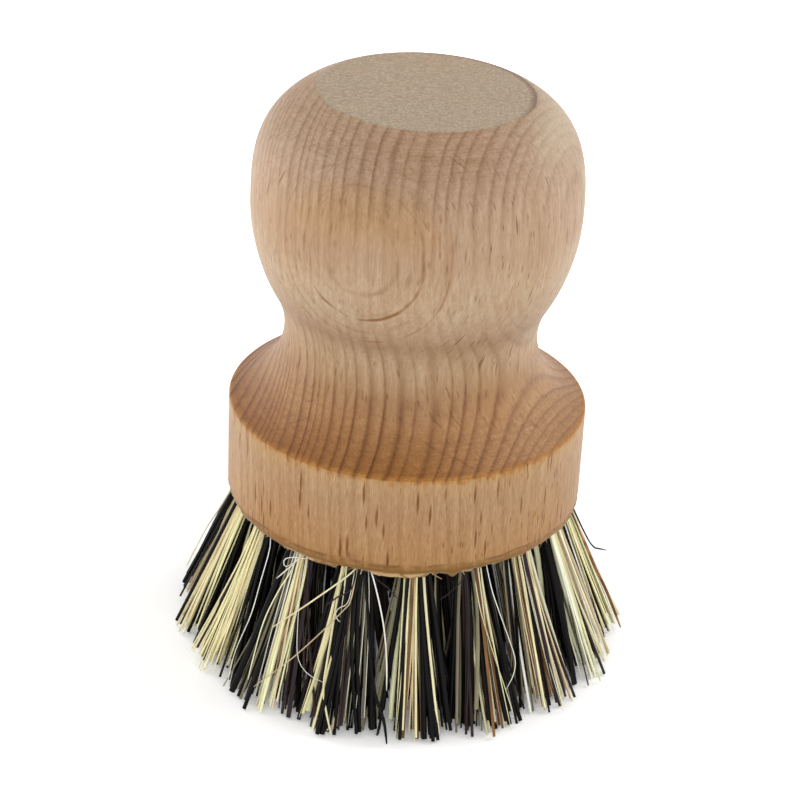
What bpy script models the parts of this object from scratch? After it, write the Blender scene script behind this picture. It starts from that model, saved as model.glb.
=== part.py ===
# A wooden pot brush, standing on its bristle tips, in metres, +Z up, the origin at the centre of the tips' plane.
# One turned beech handle is drilled from below with rings of leaning blind holes. Each hole holds one tuft of plant
# fibres, folded in half round the crown of a wire staple, whose legs are driven into the wood past the hole's bottom.

from math import atan2, cos, pi, radians, sin, sqrt, tan

import bmesh
import bpy
import numpy as np
from mathutils import Matrix, Vector

MM = 0.001

# Disc, the handle's lower end
DISC_RADIUS = 30 * MM
DISC_THICKNESS = 17.6 * MM
RIM_EASE = 0.5 * MM  # rounding of the upper edge
FOOT_EASE = 0.8 * MM  # rounding of the lower edge
BRISTLE_HEIGHT = 27 * MM  # the tips' plane to the disc's underside

# Neck, knob and the flat sanded on the knob
KNOB_INSET = 3 * MM  # how far the knob stays inside the disc's radius
NECK_INSET = 6 * MM  # how far the neck stays inside the knob's radius
NECK_RISE = 12.6 * MM  # the disc's rim to the narrowest place
KNOB_RISE = 22.7 * MM  # the narrowest place to the widest
CROWN_RISE = 20.9 * MM  # the widest place to the top of the unsanded crown
FLAT_DEPTH = 1.9 * MM  # sanded off the crown
SHOULDER_POWER = 2.9  # of the superellipse that the crown follows

# Holes and what sits in them
HOLE_RADIUS = 2.8 * MM
HOLE_DEPTH = 9 * MM
EDGE_WALL = 0.9 * MM  # wood between the outer holes' mouths and the foot's rounding
FIT_GAP = 0.3 * MM  # between pieces that touch
HOLE_SIDES = 12
BORE_SIDES = 6

# Rings of tufts, from the rim to the centre
RING_NAMES = ("outer", "middle", "inner")
TUFT_COUNTS = (17, 9, 3)
RING_SHARES = (1, 0.63, 0.26)  # of the outer ring's radius
LEANS = (radians(19.4), radians(13.7), radians(4.2))
FIRST_TURNS = (radians(5.5), radians(22), radians(60))  # from the front
OUT_SHARES = (0.84, 0.90, 0.90)  # of the room at the tips, from ring to ring
SIDE_SHARES = (0.90, 0.92, 0.90)  # of the room at the tips, from tuft to tuft

# Strands of a tuft
STRAND_RADIUS = 0.4 * MM
STRAND_SIDES = 3
STRAND_FILL_SHARE = 0.58  # of the mouth's area, counted in circles round the strands
RAGGED = 2.4 * MM  # the shortest strand ends this far above the tips' plane
TRIM_DEPTH = 0.5 * MM  # strands that would end lower than this are cut off at the tips' plane

# Staple, and the fold that it holds
WIRE_RADIUS = 0.4 * MM
WIRE_BEND = 0.5 * MM  # bend of the wire's centre line between crown and leg
LEG_SHOULDER = 0.2 * MM  # between a leg's bore and the hole's wall
LEG_BITE = 3.5 * MM  # how far a leg goes into the wood past the hole's bottom
FOLD_DEPTH = 1 * MM  # fibres between the crown's tunnel and the fold's end
FOLD_EASE_SHARE = 0.6  # rounding of the fold's end, of the fold's half width

# Fineness of the round shapes
TURN_STEPS = 60
EASE_STEPS = 2
NECK_STEPS = 9
CHEEK_STEPS = 6
SHOULDER_STEPS = 7
SHARP_ANGLE = radians(35)
GAP_STEPS = 60  # heights at which the strands' gaps are measured
WELD = 0.001 * MM
OVERRUN = 1 * MM  # how far a cut starts outside the wood, and a strand inside its root
SEED = 7

RIM_HEIGHT = BRISTLE_HEIGHT + DISC_THICKNESS
NECK_HEIGHT = RIM_HEIGHT + NECK_RISE
KNOB_HEIGHT = NECK_HEIGHT + KNOB_RISE
FLAT_HEIGHT = KNOB_HEIGHT + CROWN_RISE - FLAT_DEPTH
KNOB_RADIUS = DISC_RADIUS - KNOB_INSET
NECK_RADIUS = KNOB_RADIUS - NECK_INSET
ROOT_RADIUS = HOLE_RADIUS - FIT_GAP
BORE_RADIUS = WIRE_RADIUS + FIT_GAP
LEG_OFFSET = HOLE_RADIUS - LEG_SHOULDER - BORE_RADIUS
SLAB_HALF_WIDTH = LEG_OFFSET - BORE_RADIUS
FOLD_EASE = SLAB_HALF_WIDTH * FOLD_EASE_SHARE
ROOT_DEPTH = HOLE_DEPTH - FIT_GAP
CROWN_DEPTH = ROOT_DEPTH - FOLD_DEPTH - BORE_RADIUS
LEG_DEPTH = HOLE_DEPTH + LEG_BITE
BORE_DEPTH = LEG_DEPTH + FIT_GAP


def material(name, colour, roughness, metallic):
    made = bpy.data.materials.new(name)
    made.use_nodes = True
    shader = made.node_tree.nodes["Principled BSDF"]
    shader.inputs["Base Color"].default_value = (*colour, 1)
    shader.inputs["Roughness"].default_value = roughness
    shader.inputs["Metallic"].default_value = metallic
    made.diffuse_color = (*colour, 1)
    return made


def add_object(name, data, finish=None):
    made = bpy.data.objects.new(name, data)
    bpy.context.scene.collection.objects.link(made)
    if finish and not data.materials:
        data.materials.append(finish)
    return made


def mesh_of(name, shape, smooth=False):
    """The bmesh as mesh data, its faces pointing out."""
    bmesh.ops.recalc_face_normals(shape, faces=shape.faces)
    made = bpy.data.meshes.new(name)
    shape.to_mesh(made)
    shape.free()
    if smooth:
        made.shade_smooth()
        made.set_sharp_from_angle(angle=SHARP_ANGLE)
    return made


def add_loft(shape, rows):
    """A closed body through rows of points, with a face on the first row and one on the last."""
    loops = [[shape.verts.new(point) for point in row] for row in rows]
    for lower, upper in zip(loops, loops[1:]):
        for i in range(len(lower)):
            j = (i + 1) % len(lower)
            shape.faces.new((lower[i], lower[j], upper[j], upper[i]))
    shape.faces.new(reversed(loops[0]))
    shape.faces.new(loops[-1])


def ring(radius, sides, turn=0.0, height=0.0):
    angles = [turn + 2 * pi * i / sides for i in range(sides)]
    return [Vector((radius * cos(a), radius * sin(a), height)) for a in angles]


def add_boolean(target, cutter, operation):
    """The cutter is hidden, so that only the result counts."""
    cutter.hide_render = True
    cutter.display_type = "WIRE"
    made = target.modifiers.new(cutter.name, "BOOLEAN")
    made.operation = operation
    made.solver = "EXACT"
    made.use_self = True
    made.object = cutter


def arc(centre, radius, start, end, steps):
    """Points on a circle from the start angle to the end angle, both ends included."""
    angles = [start + (end - start) * i / steps for i in range(steps + 1)]
    return [(centre[0] + radius * cos(a), centre[1] + radius * sin(a)) for a in angles]


def neck_and_cheek():
    """The hollow of the neck, an arc from the rim, and the arc that leads on from it to the knob's widest place."""
    run = DISC_RADIUS - RIM_EASE - NECK_RADIUS
    hollow = (run**2 + NECK_RISE**2) / (2 * run)
    across = NECK_RADIUS + hollow - KNOB_RADIUS
    cheek = (across**2 + KNOB_RISE**2 - hollow**2) / (2 * (hollow - across))
    meeting = atan2(KNOB_RISE, across + cheek)
    start = pi + atan2(NECK_RISE, hollow - run)
    lower = arc((NECK_RADIUS + hollow, NECK_HEIGHT), hollow, start, pi - meeting, NECK_STEPS)
    upper = arc((KNOB_RADIUS - cheek, KNOB_HEIGHT), cheek, -meeting, 0, CHEEK_STEPS)
    return lower + upper[1:]


def handle_profile():
    """(radius, height) from the foot's edge up the disc, neck and knob to the edge of the flat."""
    foot = arc((DISC_RADIUS - FOOT_EASE, BRISTLE_HEIGHT + FOOT_EASE), FOOT_EASE, -pi / 2, 0, EASE_STEPS)
    rim = arc((DISC_RADIUS - RIM_EASE, RIM_HEIGHT - RIM_EASE), RIM_EASE, 0, pi / 2, EASE_STEPS)
    flat_share = ((CROWN_RISE - FLAT_DEPTH) / CROWN_RISE) ** SHOULDER_POWER
    turn = np.arcsin(sqrt(flat_share))
    shoulder = []
    for i in range(1, SHOULDER_STEPS + 1):
        angle = turn * i / SHOULDER_STEPS
        radius = KNOB_RADIUS * cos(angle) ** (2 / SHOULDER_POWER)
        height = KNOB_HEIGHT + CROWN_RISE * sin(angle) ** (2 / SHOULDER_POWER)
        shoulder.append((radius, height))
    return foot + rim + neck_and_cheek()[1:] + shoulder


def ring_radii():
    outer = DISC_RADIUS - FOOT_EASE - EDGE_WALL - HOLE_RADIUS / cos(LEANS[0])
    return [outer * share for share in RING_SHARES]


def mouth_frames(radius, count, first_turn):
    """The frames of a ring's hole mouths, with -Y outwards and +Z up."""
    for i in range(count):
        turn = Matrix.Rotation(first_turn + 2 * pi * i / count, 4, "Z")
        yield turn @ Matrix.Translation((0, -radius, BRISTLE_HEIGHT))


def lean_matrix(lean):
    """Turns the mouth's frame so that +Z runs up the hole, towards the brush's axis."""
    return Matrix.Rotation(-lean, 4, "X")


def add_drill(shape, frame, radius, sides, low, high, offset=0.0):
    """A round cutter between two depths of a hole, beside its axis by the offset."""
    aside = frame @ Matrix.Translation((offset, 0, 0))
    add_loft(shape, [[aside @ point for point in ring(radius, sides, pi / sides, depth)] for depth in (low, high)])


def build_handle(finish):
    shape = bmesh.new()
    verts = [shape.verts.new((radius, 0, height)) for radius, height in handle_profile()]
    edges = [shape.edges.new(pair) for pair in zip(verts, verts[1:])]
    bmesh.ops.spin(shape, geom=verts + edges, axis=(0, 0, 1), angle=2 * pi, steps=TURN_STEPS, use_merge=True)
    bmesh.ops.remove_doubles(shape, verts=shape.verts, dist=WELD)
    bmesh.ops.holes_fill(shape, edges=[edge for edge in shape.edges if edge.is_boundary])
    handle = add_object("handle", mesh_of("handle", shape, smooth=True), finish)
    holes, bores = bmesh.new(), bmesh.new()
    for radius, count, lean, first_turn in zip(ring_radii(), TUFT_COUNTS, LEANS, FIRST_TURNS):
        below = -OVERRUN - HOLE_RADIUS * tan(lean)
        for mouth in mouth_frames(radius, count, first_turn):
            frame = mouth @ lean_matrix(lean)
            add_drill(holes, frame, HOLE_RADIUS, HOLE_SIDES, below, HOLE_DEPTH)
            for offset in (-LEG_OFFSET, LEG_OFFSET):
                add_drill(bores, frame, BORE_RADIUS, BORE_SIDES, HOLE_DEPTH - OVERRUN, BORE_DEPTH, offset)
    add_boolean(handle, add_object("tuft_holes", mesh_of("tuft_holes", holes)), "DIFFERENCE")
    add_boolean(handle, add_object("leg_bores", mesh_of("leg_bores", bores)), "DIFFERENCE")


def root_rings(lean):
    """The folded bunch: round from the mouth, then a slab between the staple's legs, rounded at the fold."""
    tilt = lean_matrix(lean)
    round_ring = ring(ROOT_RADIUS, HOLE_SIDES, pi / HOLE_SIDES)
    mouth = [tilt @ Vector((p.x, p.y, p.y * tan(lean))) for p in round_ring]
    slab_top = CROWN_DEPTH - BORE_RADIUS
    rows = [mouth, [tilt @ (p + Vector((0, 0, slab_top - SLAB_HALF_WIDTH))) for p in round_ring]]
    for depth, ease in ((slab_top, 0), (ROOT_DEPTH - FOLD_EASE, 0), (ROOT_DEPTH, FOLD_EASE)):
        half = SLAB_HALF_WIDTH - ease
        share = 1 - ease / ROOT_RADIUS
        slab = [Vector((max(-half, min(half, p.x)), p.y * share, depth)) for p in round_ring]
        rows.append([tilt @ point for point in slab])
    return rows


def strand_lines(lean, half_out, half_side, rng):
    """Where each strand of a tuft leaves the mouth and where it ends, in the mouth's frame, none crossing."""
    room = ROOT_RADIUS * cos(pi / HOLE_SIDES) - STRAND_RADIUS
    count = int(STRAND_FILL_SHARE * (room / STRAND_RADIUS) ** 2)
    golden = pi * (3 - sqrt(5))
    turn = 2 * pi * rng.random()
    reach = BRISTLE_HEIGHT * tan(lean)
    lines = []
    for i in range(count):
        away = sqrt((i + 0.5) / count)
        x, y = away * cos(turn + i * golden), away * sin(turn + i * golden)
        start = Vector((room * x, room * y, 0))
        tip = Vector(((half_side - STRAND_RADIUS) * x, (half_out - STRAND_RADIUS) * y - reach, -BRISTLE_HEIGHT))
        end_height = RAGGED * rng.random()
        if end_height < TRIM_DEPTH:
            end_height = 0
        lines.append((start, start.lerp(tip, 1 - end_height / BRISTLE_HEIGHT)))
    return lines


def build_tuft(name, mouth, lean, lines, rng, finish):
    root, strands = bmesh.new(), bmesh.new()
    add_loft(root, root_rings(lean))
    for start, end in lines:
        inside = start + (start - end) * (OVERRUN / BRISTLE_HEIGHT)
        section = ring(STRAND_RADIUS, STRAND_SIDES, rng.random() * 2 * pi)
        add_loft(strands, [[end + corner for corner in section], [inside + corner for corner in section]])
    tunnel = bmesh.new()
    across = lean_matrix(lean) @ Matrix.Translation((0, 0, CROWN_DEPTH)) @ Matrix.Rotation(pi / 2, 4, "Y")
    add_drill(tunnel, across, BORE_RADIUS, BORE_SIDES, -HOLE_RADIUS, HOLE_RADIUS)
    tuft = add_object(name, mesh_of(name, root), finish)
    for suffix, shape, operation in (("strands", strands, "UNION"), ("tunnel", tunnel, "DIFFERENCE")):
        part = add_object(f"{name}_{suffix}", mesh_of(f"{name}_{suffix}", shape))
        part.parent = tuft
        add_boolean(tuft, part, operation)
    tuft.matrix_world = mouth


def staple_curve():
    """A U of wire across the hole at the crown's depth, its legs up past the hole's bottom, in the hole's frame."""
    curve = bpy.data.curves.new("staple", "CURVE")
    curve.dimensions = "3D"
    curve.bevel_depth = WIRE_RADIUS
    curve.bevel_resolution = 1
    curve.use_fill_caps = True
    bend = [(LEG_OFFSET - WIRE_BEND, CROWN_DEPTH), (LEG_OFFSET, CROWN_DEPTH + WIRE_BEND)]
    right = bend + [(LEG_OFFSET, LEG_DEPTH)]
    points = [(-x, z) for x, z in reversed(right)] + right
    spline = curve.splines.new("POLY")
    spline.points.add(len(points) - 1)
    for point, (x, z) in zip(spline.points, points):
        point.co = (x, 0, z, 1)
    return curve


def least_gap(lines):
    """The smallest distance between two strands' surfaces, taken at the same height on both."""
    starts = np.array([start for start, _ in lines])
    slopes = np.array([(end - start) / (end - start).z for start, end in lines])
    least = DISC_RADIUS
    for height in np.linspace(0, BRISTLE_HEIGHT, GAP_STEPS):
        places = (starts + slopes * (height - starts[:, 2:]))[:, :2]
        apart = np.linalg.norm(places[:, None] - places[None], axis=2)
        least = min(least, apart[np.triu_indices(len(places), 1)].min())
    return least - 2 * STRAND_RADIUS


def build_tufts(finish, wire):
    rng = np.random.default_rng(SEED)
    staple = staple_curve()
    radii = ring_radii()
    tip_radii = [radius + BRISTLE_HEIGHT * tan(lean) for radius, lean in zip(radii, LEANS)]
    lines = []
    for i, name in enumerate(RING_NAMES):
        lean = LEANS[i]
        inside = tip_radii[i + 1] if i + 1 < len(tip_radii) else 0
        half_out = OUT_SHARES[i] * (tip_radii[i] - inside) / 2
        half_side = SIDE_SHARES[i] * tip_radii[i] * sin(pi / TUFT_COUNTS[i])
        for number, mouth in enumerate(mouth_frames(radii[i], TUFT_COUNTS[i], FIRST_TURNS[i]), 1):
            strands = strand_lines(lean, half_out, half_side, rng)
            lines += [(mouth @ start, mouth @ end) for start, end in strands]
            build_tuft(f"tuft_{name}_{number:02d}", mouth, lean, strands, rng, finish)
            pin = add_object(f"staple_{name}_{number:02d}", staple, wire)
            pin.matrix_world = mouth @ lean_matrix(lean)
    print(f"{len(lines)} strands, least gap {least_gap(lines) / MM:.2f} mm")
    lowest = min((end for _, end in lines), key=lambda end: (round(end.z, 6), end.xy.length))
    print("tip nearest the axis:", [round(value, 5) for value in lowest])


def main():
    for old in list(bpy.data.objects):
        bpy.data.objects.remove(old)
    beech = material("beech", (0.62, 0.40, 0.25), 0.55, 0)
    fibre = material("plant_fibre", (0.52, 0.42, 0.22), 0.6, 0)
    wire = material("staple_wire", (0.55, 0.55, 0.56), 0.35, 1)
    build_handle(beech)
    build_tufts(fibre, wire)
    print(f"height {FLAT_HEIGHT / MM:.2f} mm")


main()
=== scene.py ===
# %% [markdown]
# # A wooden pot brush
# The real object is a palm-held brush for scrubbing pots. One piece of beech is turned to a knob, a neck and
# a thick disc, and 29 holes are drilled into the disc from below. Each hole holds a tuft of mixed plant
# fibres, folded in half round a wire staple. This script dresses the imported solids: finer pieces replace the
# solids of the wood and the tufts, and the staples keep their solids and get a finish. It starts with the
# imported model, which is the fixed frame that every piece is placed in.

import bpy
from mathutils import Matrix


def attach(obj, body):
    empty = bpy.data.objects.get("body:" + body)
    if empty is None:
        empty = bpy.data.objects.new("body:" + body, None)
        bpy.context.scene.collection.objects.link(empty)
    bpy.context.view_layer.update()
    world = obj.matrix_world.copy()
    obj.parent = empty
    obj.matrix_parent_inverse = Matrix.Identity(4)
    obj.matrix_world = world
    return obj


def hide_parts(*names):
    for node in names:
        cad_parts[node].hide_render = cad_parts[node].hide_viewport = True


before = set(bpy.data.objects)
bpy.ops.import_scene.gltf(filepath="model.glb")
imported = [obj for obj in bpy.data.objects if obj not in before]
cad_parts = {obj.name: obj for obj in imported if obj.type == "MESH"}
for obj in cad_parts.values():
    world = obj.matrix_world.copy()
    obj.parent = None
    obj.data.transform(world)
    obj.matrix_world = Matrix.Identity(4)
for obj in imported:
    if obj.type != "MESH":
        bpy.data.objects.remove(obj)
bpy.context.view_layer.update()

# %% The modules that the cells use
from math import atan2, cos, exp, inf, pi, radians, sin, sqrt, tan

import bpy
import numpy as np
from mathutils import Matrix, Vector, noise

# %% [markdown]
# ## Units and helpers
# Wood and fibres are small, so every length in this lesson is in millimetres, and one function turns a
# finished shape to Blender's metres. Colours are written as the hex values that a screen shows. The renderer
# counts in linear light, so one function converts them.

# %% From millimetres and hex to what Blender wants
MM = 0.001


def linear(hex_code, alpha=1.0):
    """The linear colour of an sRGB hex value."""
    values = [int(hex_code[i : i + 2], 16) / 255 for i in (1, 3, 5)]
    return (*(v / 12.92 if v <= 0.04045 else ((v + 0.055) / 1.055) ** 2.4 for v in values), alpha)


def add_piece(name, points, faces, finish, smooth_below=40):
    """A mesh object from points in mm, smooth except where faces meet at more than the given angle."""
    mesh = bpy.data.meshes.new(name)
    mesh.from_pydata((np.asarray(points) * MM).tolist(), [], faces)
    mesh.materials.append(finish)
    mesh.shade_smooth()
    mesh.set_sharp_from_angle(angle=radians(smooth_below))
    piece = bpy.data.objects.new(name, mesh)
    bpy.context.scene.collection.objects.link(piece)
    return piece


print("mid grey in linear light:", round(linear("#808080")[0], 3))

# %% [markdown]
# ## A helper for materials
# A procedural finish is a graph of nodes. One small function adds a node, sets its own settings and fills its
# inputs, either with a number or with a link from another node. A node that is given as a source stands for
# its first output.

# %% Add one node


def node(tree, kind, inputs=None, **settings):
    made = tree.nodes.new("ShaderNode" + kind)
    for name, value in settings.items():
        setattr(made, name, value)
    for socket, source in (inputs or {}).items():
        if isinstance(source, bpy.types.Node):
            source = source.outputs[0]
        if isinstance(source, bpy.types.NodeSocket):
            tree.links.new(source, made.inputs[socket])
        else:
            made.inputs[socket].default_value = source
    return made


print("a node's inputs take numbers, sockets or other nodes")

# %% Start a finish


def new_finish(name):
    """A material with only a Principled shader and its output; returns it, its node tree and the shader."""
    finish = bpy.data.materials.new(name)
    finish.use_nodes = True
    return finish, finish.node_tree, finish.node_tree.nodes["Principled BSDF"]


print("a finish starts as a Principled shader")

# %% [markdown]
# ## Beech, turned and sanded
# The handle is European beech, a pale pinkish-brown hardwood, turned on a lathe, sanded and left unvarnished,
# so it is nearly matt. Four things make it look like beech. The growth rings are layers about 2.2 mm thick,
# which darken slowly towards their outer side and then start again. They show strongly where the surface cuts
# across the grain, on the shoulder and the disc's upper face, and faintly where it runs along it. The rays
# are thin upright plates that run from the tree's middle outwards: end on they are short dark flecks, from
# the side a broad warm patch, and where the turned front just grazes one, its outline shows as a thin arc.
# Fine pores run up and down. The flat is sanded end grain, greyer, with no rings left to see. All of this is
# worked out from the place in the block, so it runs on round every edge, as in real wood. An image wrapped
# round the handle would stretch and would show a seam.

# %% Where the block lay in the tree
PITH = (352, -159, 60)  # a point of the tree's middle line, far to the right of the brush
PITH_LINE = Vector((0.05, 0.34, 1)).normalized()  # the middle line's direction
TREE_TURN = radians(18)  # so far round Z, X points to the tree's middle and Y across the rays
RING_WIDTH = 2.2
print("the block lay", round(Vector(PITH[:2]).length), "mm from the tree's middle line")

# %% Heights and radii that the finish needs from the shape
DISC_RADIUS = 30
FOOT_HEIGHT = 27
RIM_HEIGHT = 44.6
NECK_MIDDLE = 56  # the middle of the hollow that shows the rings less and ripples more
FLAT_HEIGHT = 98.9
print("the wood's finish runs from", FOOT_HEIGHT, "to", FLAT_HEIGHT, "mm")

# %% The place in the block in mm, and the way that the surface faces
beech, wood, wood_shader = new_finish("beech_turned_and_sanded")
texture_place = node(wood, "TexCoord")
place = node(wood, "VectorMath", {0: texture_place.outputs["Object"], "Scale": 1 / MM}, operation="SCALE")
tree_turn = (0, 0, TREE_TURN)
tree_place = node(wood, "Mapping", {"Vector": place, "Rotation": tree_turn})
tree_facing = node(wood, "Mapping", {"Vector": texture_place.outputs["Normal"], "Rotation": tree_turn})
height = node(wood, "SeparateXYZ", {0: place}).outputs["Z"]
facing = node(wood, "SeparateXYZ", {0: tree_facing})
across_grain = node(wood, "Math", {0: facing.outputs["Z"]}, operation="ABSOLUTE")
along_ray = node(wood, "Math", {0: facing.outputs["X"]}, operation="ABSOLUTE")
print("nodes for the place:", len(wood.nodes))

# %% Noises that run on through the block
NOISES = {
    # each one's size in mm along X, Y and Z, its detail and its roughness
    "slow wave": ((25, 25, 60), 1, 0.5),
    "fine wave": ((3, 3, 9), 4, 0.6),
    "fray": ((0.9, 0.9, 2.5), 3, 0.5),
    "ripple": ((5, 5, 7), 2, 0.5),
    "plate wave": ((12, 12, 12), 2, 0.5),
    "plate parts": ((5, 5, 4), 1, 0.5),
    "patches": ((14, 14, 22), 2, 0.5),
    "lip parts": ((3, 3, 3), 2, 0.5),
    "painted_crease_shade": ((5, 5, inf), 3, 0.5),
    "jag": ((0.9, 0.9, 1), 3, 0.5),
    "pits": ((0.9, 0.35, 1), 2, 0.5),
    "smudges": ((8, 3.5, 1), 3, 0.5),
}
noises = {}
for name, (size, detail, roughness) in NOISES.items():
    scaled = node(wood, "VectorMath", {0: place, 1: [1 / side for side in size]}, operation="MULTIPLY")
    settings = {"Vector": scaled, "Scale": 1, "Detail": detail, "Roughness": roughness}
    noises[name] = node(wood, "TexNoise", settings)
print("noises:", ", ".join(noises))

# %% Growth rings: the distance from the tree's middle line, bent by waves
from_pith = node(wood, "VectorMath", {0: place, 1: PITH}, operation="SUBTRACT")
along_pith = node(wood, "VectorMath", {0: from_pith, 1: PITH_LINE}, operation="DOT_PRODUCT").outputs["Value"]
on_pith = node(wood, "VectorMath", {0: PITH_LINE, "Scale": along_pith}, operation="SCALE")
outwards = node(wood, "VectorMath", {0: from_pith, 1: on_pith}, operation="SUBTRACT")
distance = node(wood, "VectorMath", {0: outwards}, operation="LENGTH").outputs["Value"]
# Slow waves, 25 mm across and drawn out along the grain, bend the layers; fine ones, 3 mm across, roughen
# them.
waves = [(noises["slow wave"], 3.0), (noises["fine wave"], 0.45)]
# Good and bad years: the layers' widths change by about a third, over two years at a time.
years_along = node(wood, "Math", {0: distance, 1: 1 / (2 * RING_WIDTH)}, operation="MULTIPLY")
year_wave = node(wood, "TexNoise", {"W": years_along, "Scale": 1, "Detail": 0}, noise_dimensions="1D")
waves.append((year_wave, 2.4))
bent = distance
for wave, wave_height in waves:
    centred = node(wood, "Math", {0: wave, 1: 0.5}, operation="SUBTRACT")
    bent = node(wood, "Math", {0: centred, 1: wave_height, 2: bent}, operation="MULTIPLY_ADD")
layer = node(wood, "Math", {0: bent, 1: 1 / RING_WIDTH}, operation="MULTIPLY")
# The late years were poor ones, and so were the early ones: from the first distance to the second, in mm from
# the middle line, the layers narrow steadily to about half as wide. The last number is how far that shifts
# their count.
for first, last, shift in ((386, 404, 4.1), (370, 356, -3.0)):
    poor = node(wood, "MapRange", {0: distance, 1: first, 2: last})
    poor_squared = node(wood, "Math", {0: poor, 1: 2}, operation="POWER")
    layer = node(wood, "Math", {0: poor_squared, 1: shift, 2: layer}, operation="MULTIPLY_ADD")
phase = node(wood, "Math", {0: layer}, operation="FRACT")
year = node(wood, "Math", {0: layer}, operation="FLOOR")
print("growth rings", RING_WIDTH, "mm apart")

# %% How a layer darkens from its inner to its outer side
DARKENING = ((0.0, 0.5), (1.0, 0.5), (0.10, 0.05), (0.40, 0.08), (0.68, 0.36), (0.88, 1.0), (0.94, 0.95))
layer_ramp = node(wood, "ValToRGB", {0: phase})
stops = layer_ramp.color_ramp.elements
for index, (position, dark) in enumerate(DARKENING):
    stop = stops[index] if index < 2 else stops.new(position)
    stop.position, stop.color = position, (dark, dark, dark, 1)
year_noise = node(wood, "TexWhiteNoise", {"W": year}, noise_dimensions="1D")
year_strength = node(wood, "MapRange", {0: year_noise, 3: 0.55, 4: 1.0})
print("years:", len(DARKENING), "stops of tone each")

# %% Where the rings show
# Most on faces that look upwards, some round the neck, less high up and on the right.
upward = facing.outputs["Z"]
ring_up = node(
    wood, "MapRange", {0: upward, 1: 0.0, 2: 0.34, 3: 0.3, 4: 1.0}, interpolation_type="SMOOTHSTEP"
)
from_neck = node(wood, "Math", {0: height, 1: NECK_MIDDLE}, operation="SUBTRACT")
from_neck = node(wood, "Math", {0: from_neck}, operation="ABSOLUTE")
ring_neck = node(wood, "MapRange", {0: from_neck, 1: 4, 2: 13, 3: 0.72, 4: 0.3})
ring_high = node(wood, "MapRange", {0: height, 1: 52, 2: 66, 3: 1.0, 4: 0.66})
place_parts = node(wood, "SeparateXYZ", {0: place})
rightwards, backwards = place_parts.outputs["X"], place_parts.outputs["Y"]
ring_right = node(wood, "MapRange", {0: rightwards, 1: 4, 2: 22, 3: 1.0, 4: 0.62})
print("the rings show more within 13 mm of height", NECK_MIDDLE)

# %% The rim: a burnished, slightly frayed edge, where the rings show most
radius_place = node(wood, "VectorMath", {0: place, 1: (1, 1, 0)}, operation="MULTIPLY")
radius_here = node(wood, "VectorMath", {0: radius_place}, operation="LENGTH").outputs["Value"]
fray_height = node(wood, "Math", {0: noises["fray"], 1: 4.0, 2: height}, operation="MULTIPLY_ADD")
rim_top = node(wood, "MapRange", {0: fray_height, 1: RIM_HEIGHT + 0.9, 2: RIM_HEIGHT + 1.7})
rim_out = node(wood, "MapRange", {0: radius_here, 1: DISC_RADIUS - 1.0, 2: DISC_RADIUS - 0.4})
rim_below = node(wood, "MapRange", {0: height, 1: RIM_HEIGHT + 0.1, 2: RIM_HEIGHT + 0.5, 3: 1.0, 4: 0.0})
rim_mask = node(wood, "Math", {0: rim_top, 1: rim_out}, operation="MULTIPLY")
rim_mask = node(wood, "Math", {0: rim_mask, 1: rim_below}, operation="MULTIPLY")
ring_show = ring_up
for shown in (ring_neck, rim_mask):
    ring_show = node(wood, "Math", {0: ring_show, 1: shown}, operation="MAXIMUM")
ring_tone = layer_ramp
for share in (year_strength, ring_high, ring_right, ring_show):
    ring_tone = node(wood, "Math", {0: ring_tone, 1: share}, operation="MULTIPLY")
print("the rim is", RIM_HEIGHT, "mm up")

# %% The grain ripples a little, most round the neck
ripple = noises["ripple"].outputs["Color"]
ripple_centred = node(wood, "VectorMath", {0: ripple, 1: (0.5, 0.5, 0.5)}, operation="SUBTRACT")
ripple_height = node(wood, "MapRange", {0: from_neck, 1: 3, 2: 14, 3: 1.8, 4: 0.3})
ripple_size = node(wood, "VectorMath", {0: ripple_centred, "Scale": ripple_height}, operation="SCALE")
rippled = node(wood, "VectorMath", {0: tree_place, 1: ripple_size}, operation="ADD")
print("ripples 5 mm across")

# %% Rays and long pores
# They are spindles, one to each cell of a stretched Voronoi pattern.
SPINDLES = (
    # the cell's size in mm towards the middle, across the rays and upwards, and the spindle's share of it
    ((30, 0.90, 11.0), 0.17),
    ((16, 0.60, 5.0), 0.16),
    ((1.2, 0.80, 10.0), 0.24),
)
spindle_tones = []
for cell, reach in SPINDLES:
    ray_place = node(wood, "VectorMath", {0: rippled, 1: [1 / side for side in cell]}, operation="MULTIPLY")
    rays = node(wood, "TexVoronoi", {"Vector": ray_place, "Scale": 1, "Exponent": 1.4}, distance="MINKOWSKI")
    spindle_tones.append(
        node(
            wood,
            "MapRange",
            {0: rays.outputs["Distance"], 1: reach * 0.6, 2: reach * 1.25, 3: 1.0, 4: 0.0},
            interpolation_type="SMOOTHSTEP",
        )
    )
    print("spindles up to", round(2 * reach * cell[1], 2), "by", round(2 * reach * cell[2], 1), "mm")
ray = node(wood, "Math", {0: spindle_tones[0], 1: spindle_tones[1]}, operation="MAXIMUM")
ray_show = node(wood, "MapRange", {0: along_ray, 1: 0.2, 2: 0.85, 3: 0.22, 4: 1.0})
ray_tone = node(wood, "Math", {0: ray, 1: ray_show}, operation="MULTIPLY")
needle_show = node(wood, "MapRange", {0: across_grain, 1: 0.2, 2: 0.6, 3: 1.0, 4: 0.0})
needle_low = node(wood, "MapRange", {0: height, 1: 44, 2: 60, 3: 1.0, 4: 0.35})
needle_tone = spindle_tones[2]
for share in (needle_show, needle_low):
    needle_tone = node(wood, "Math", {0: needle_tone, 1: share}, operation="MULTIPLY")

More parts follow.
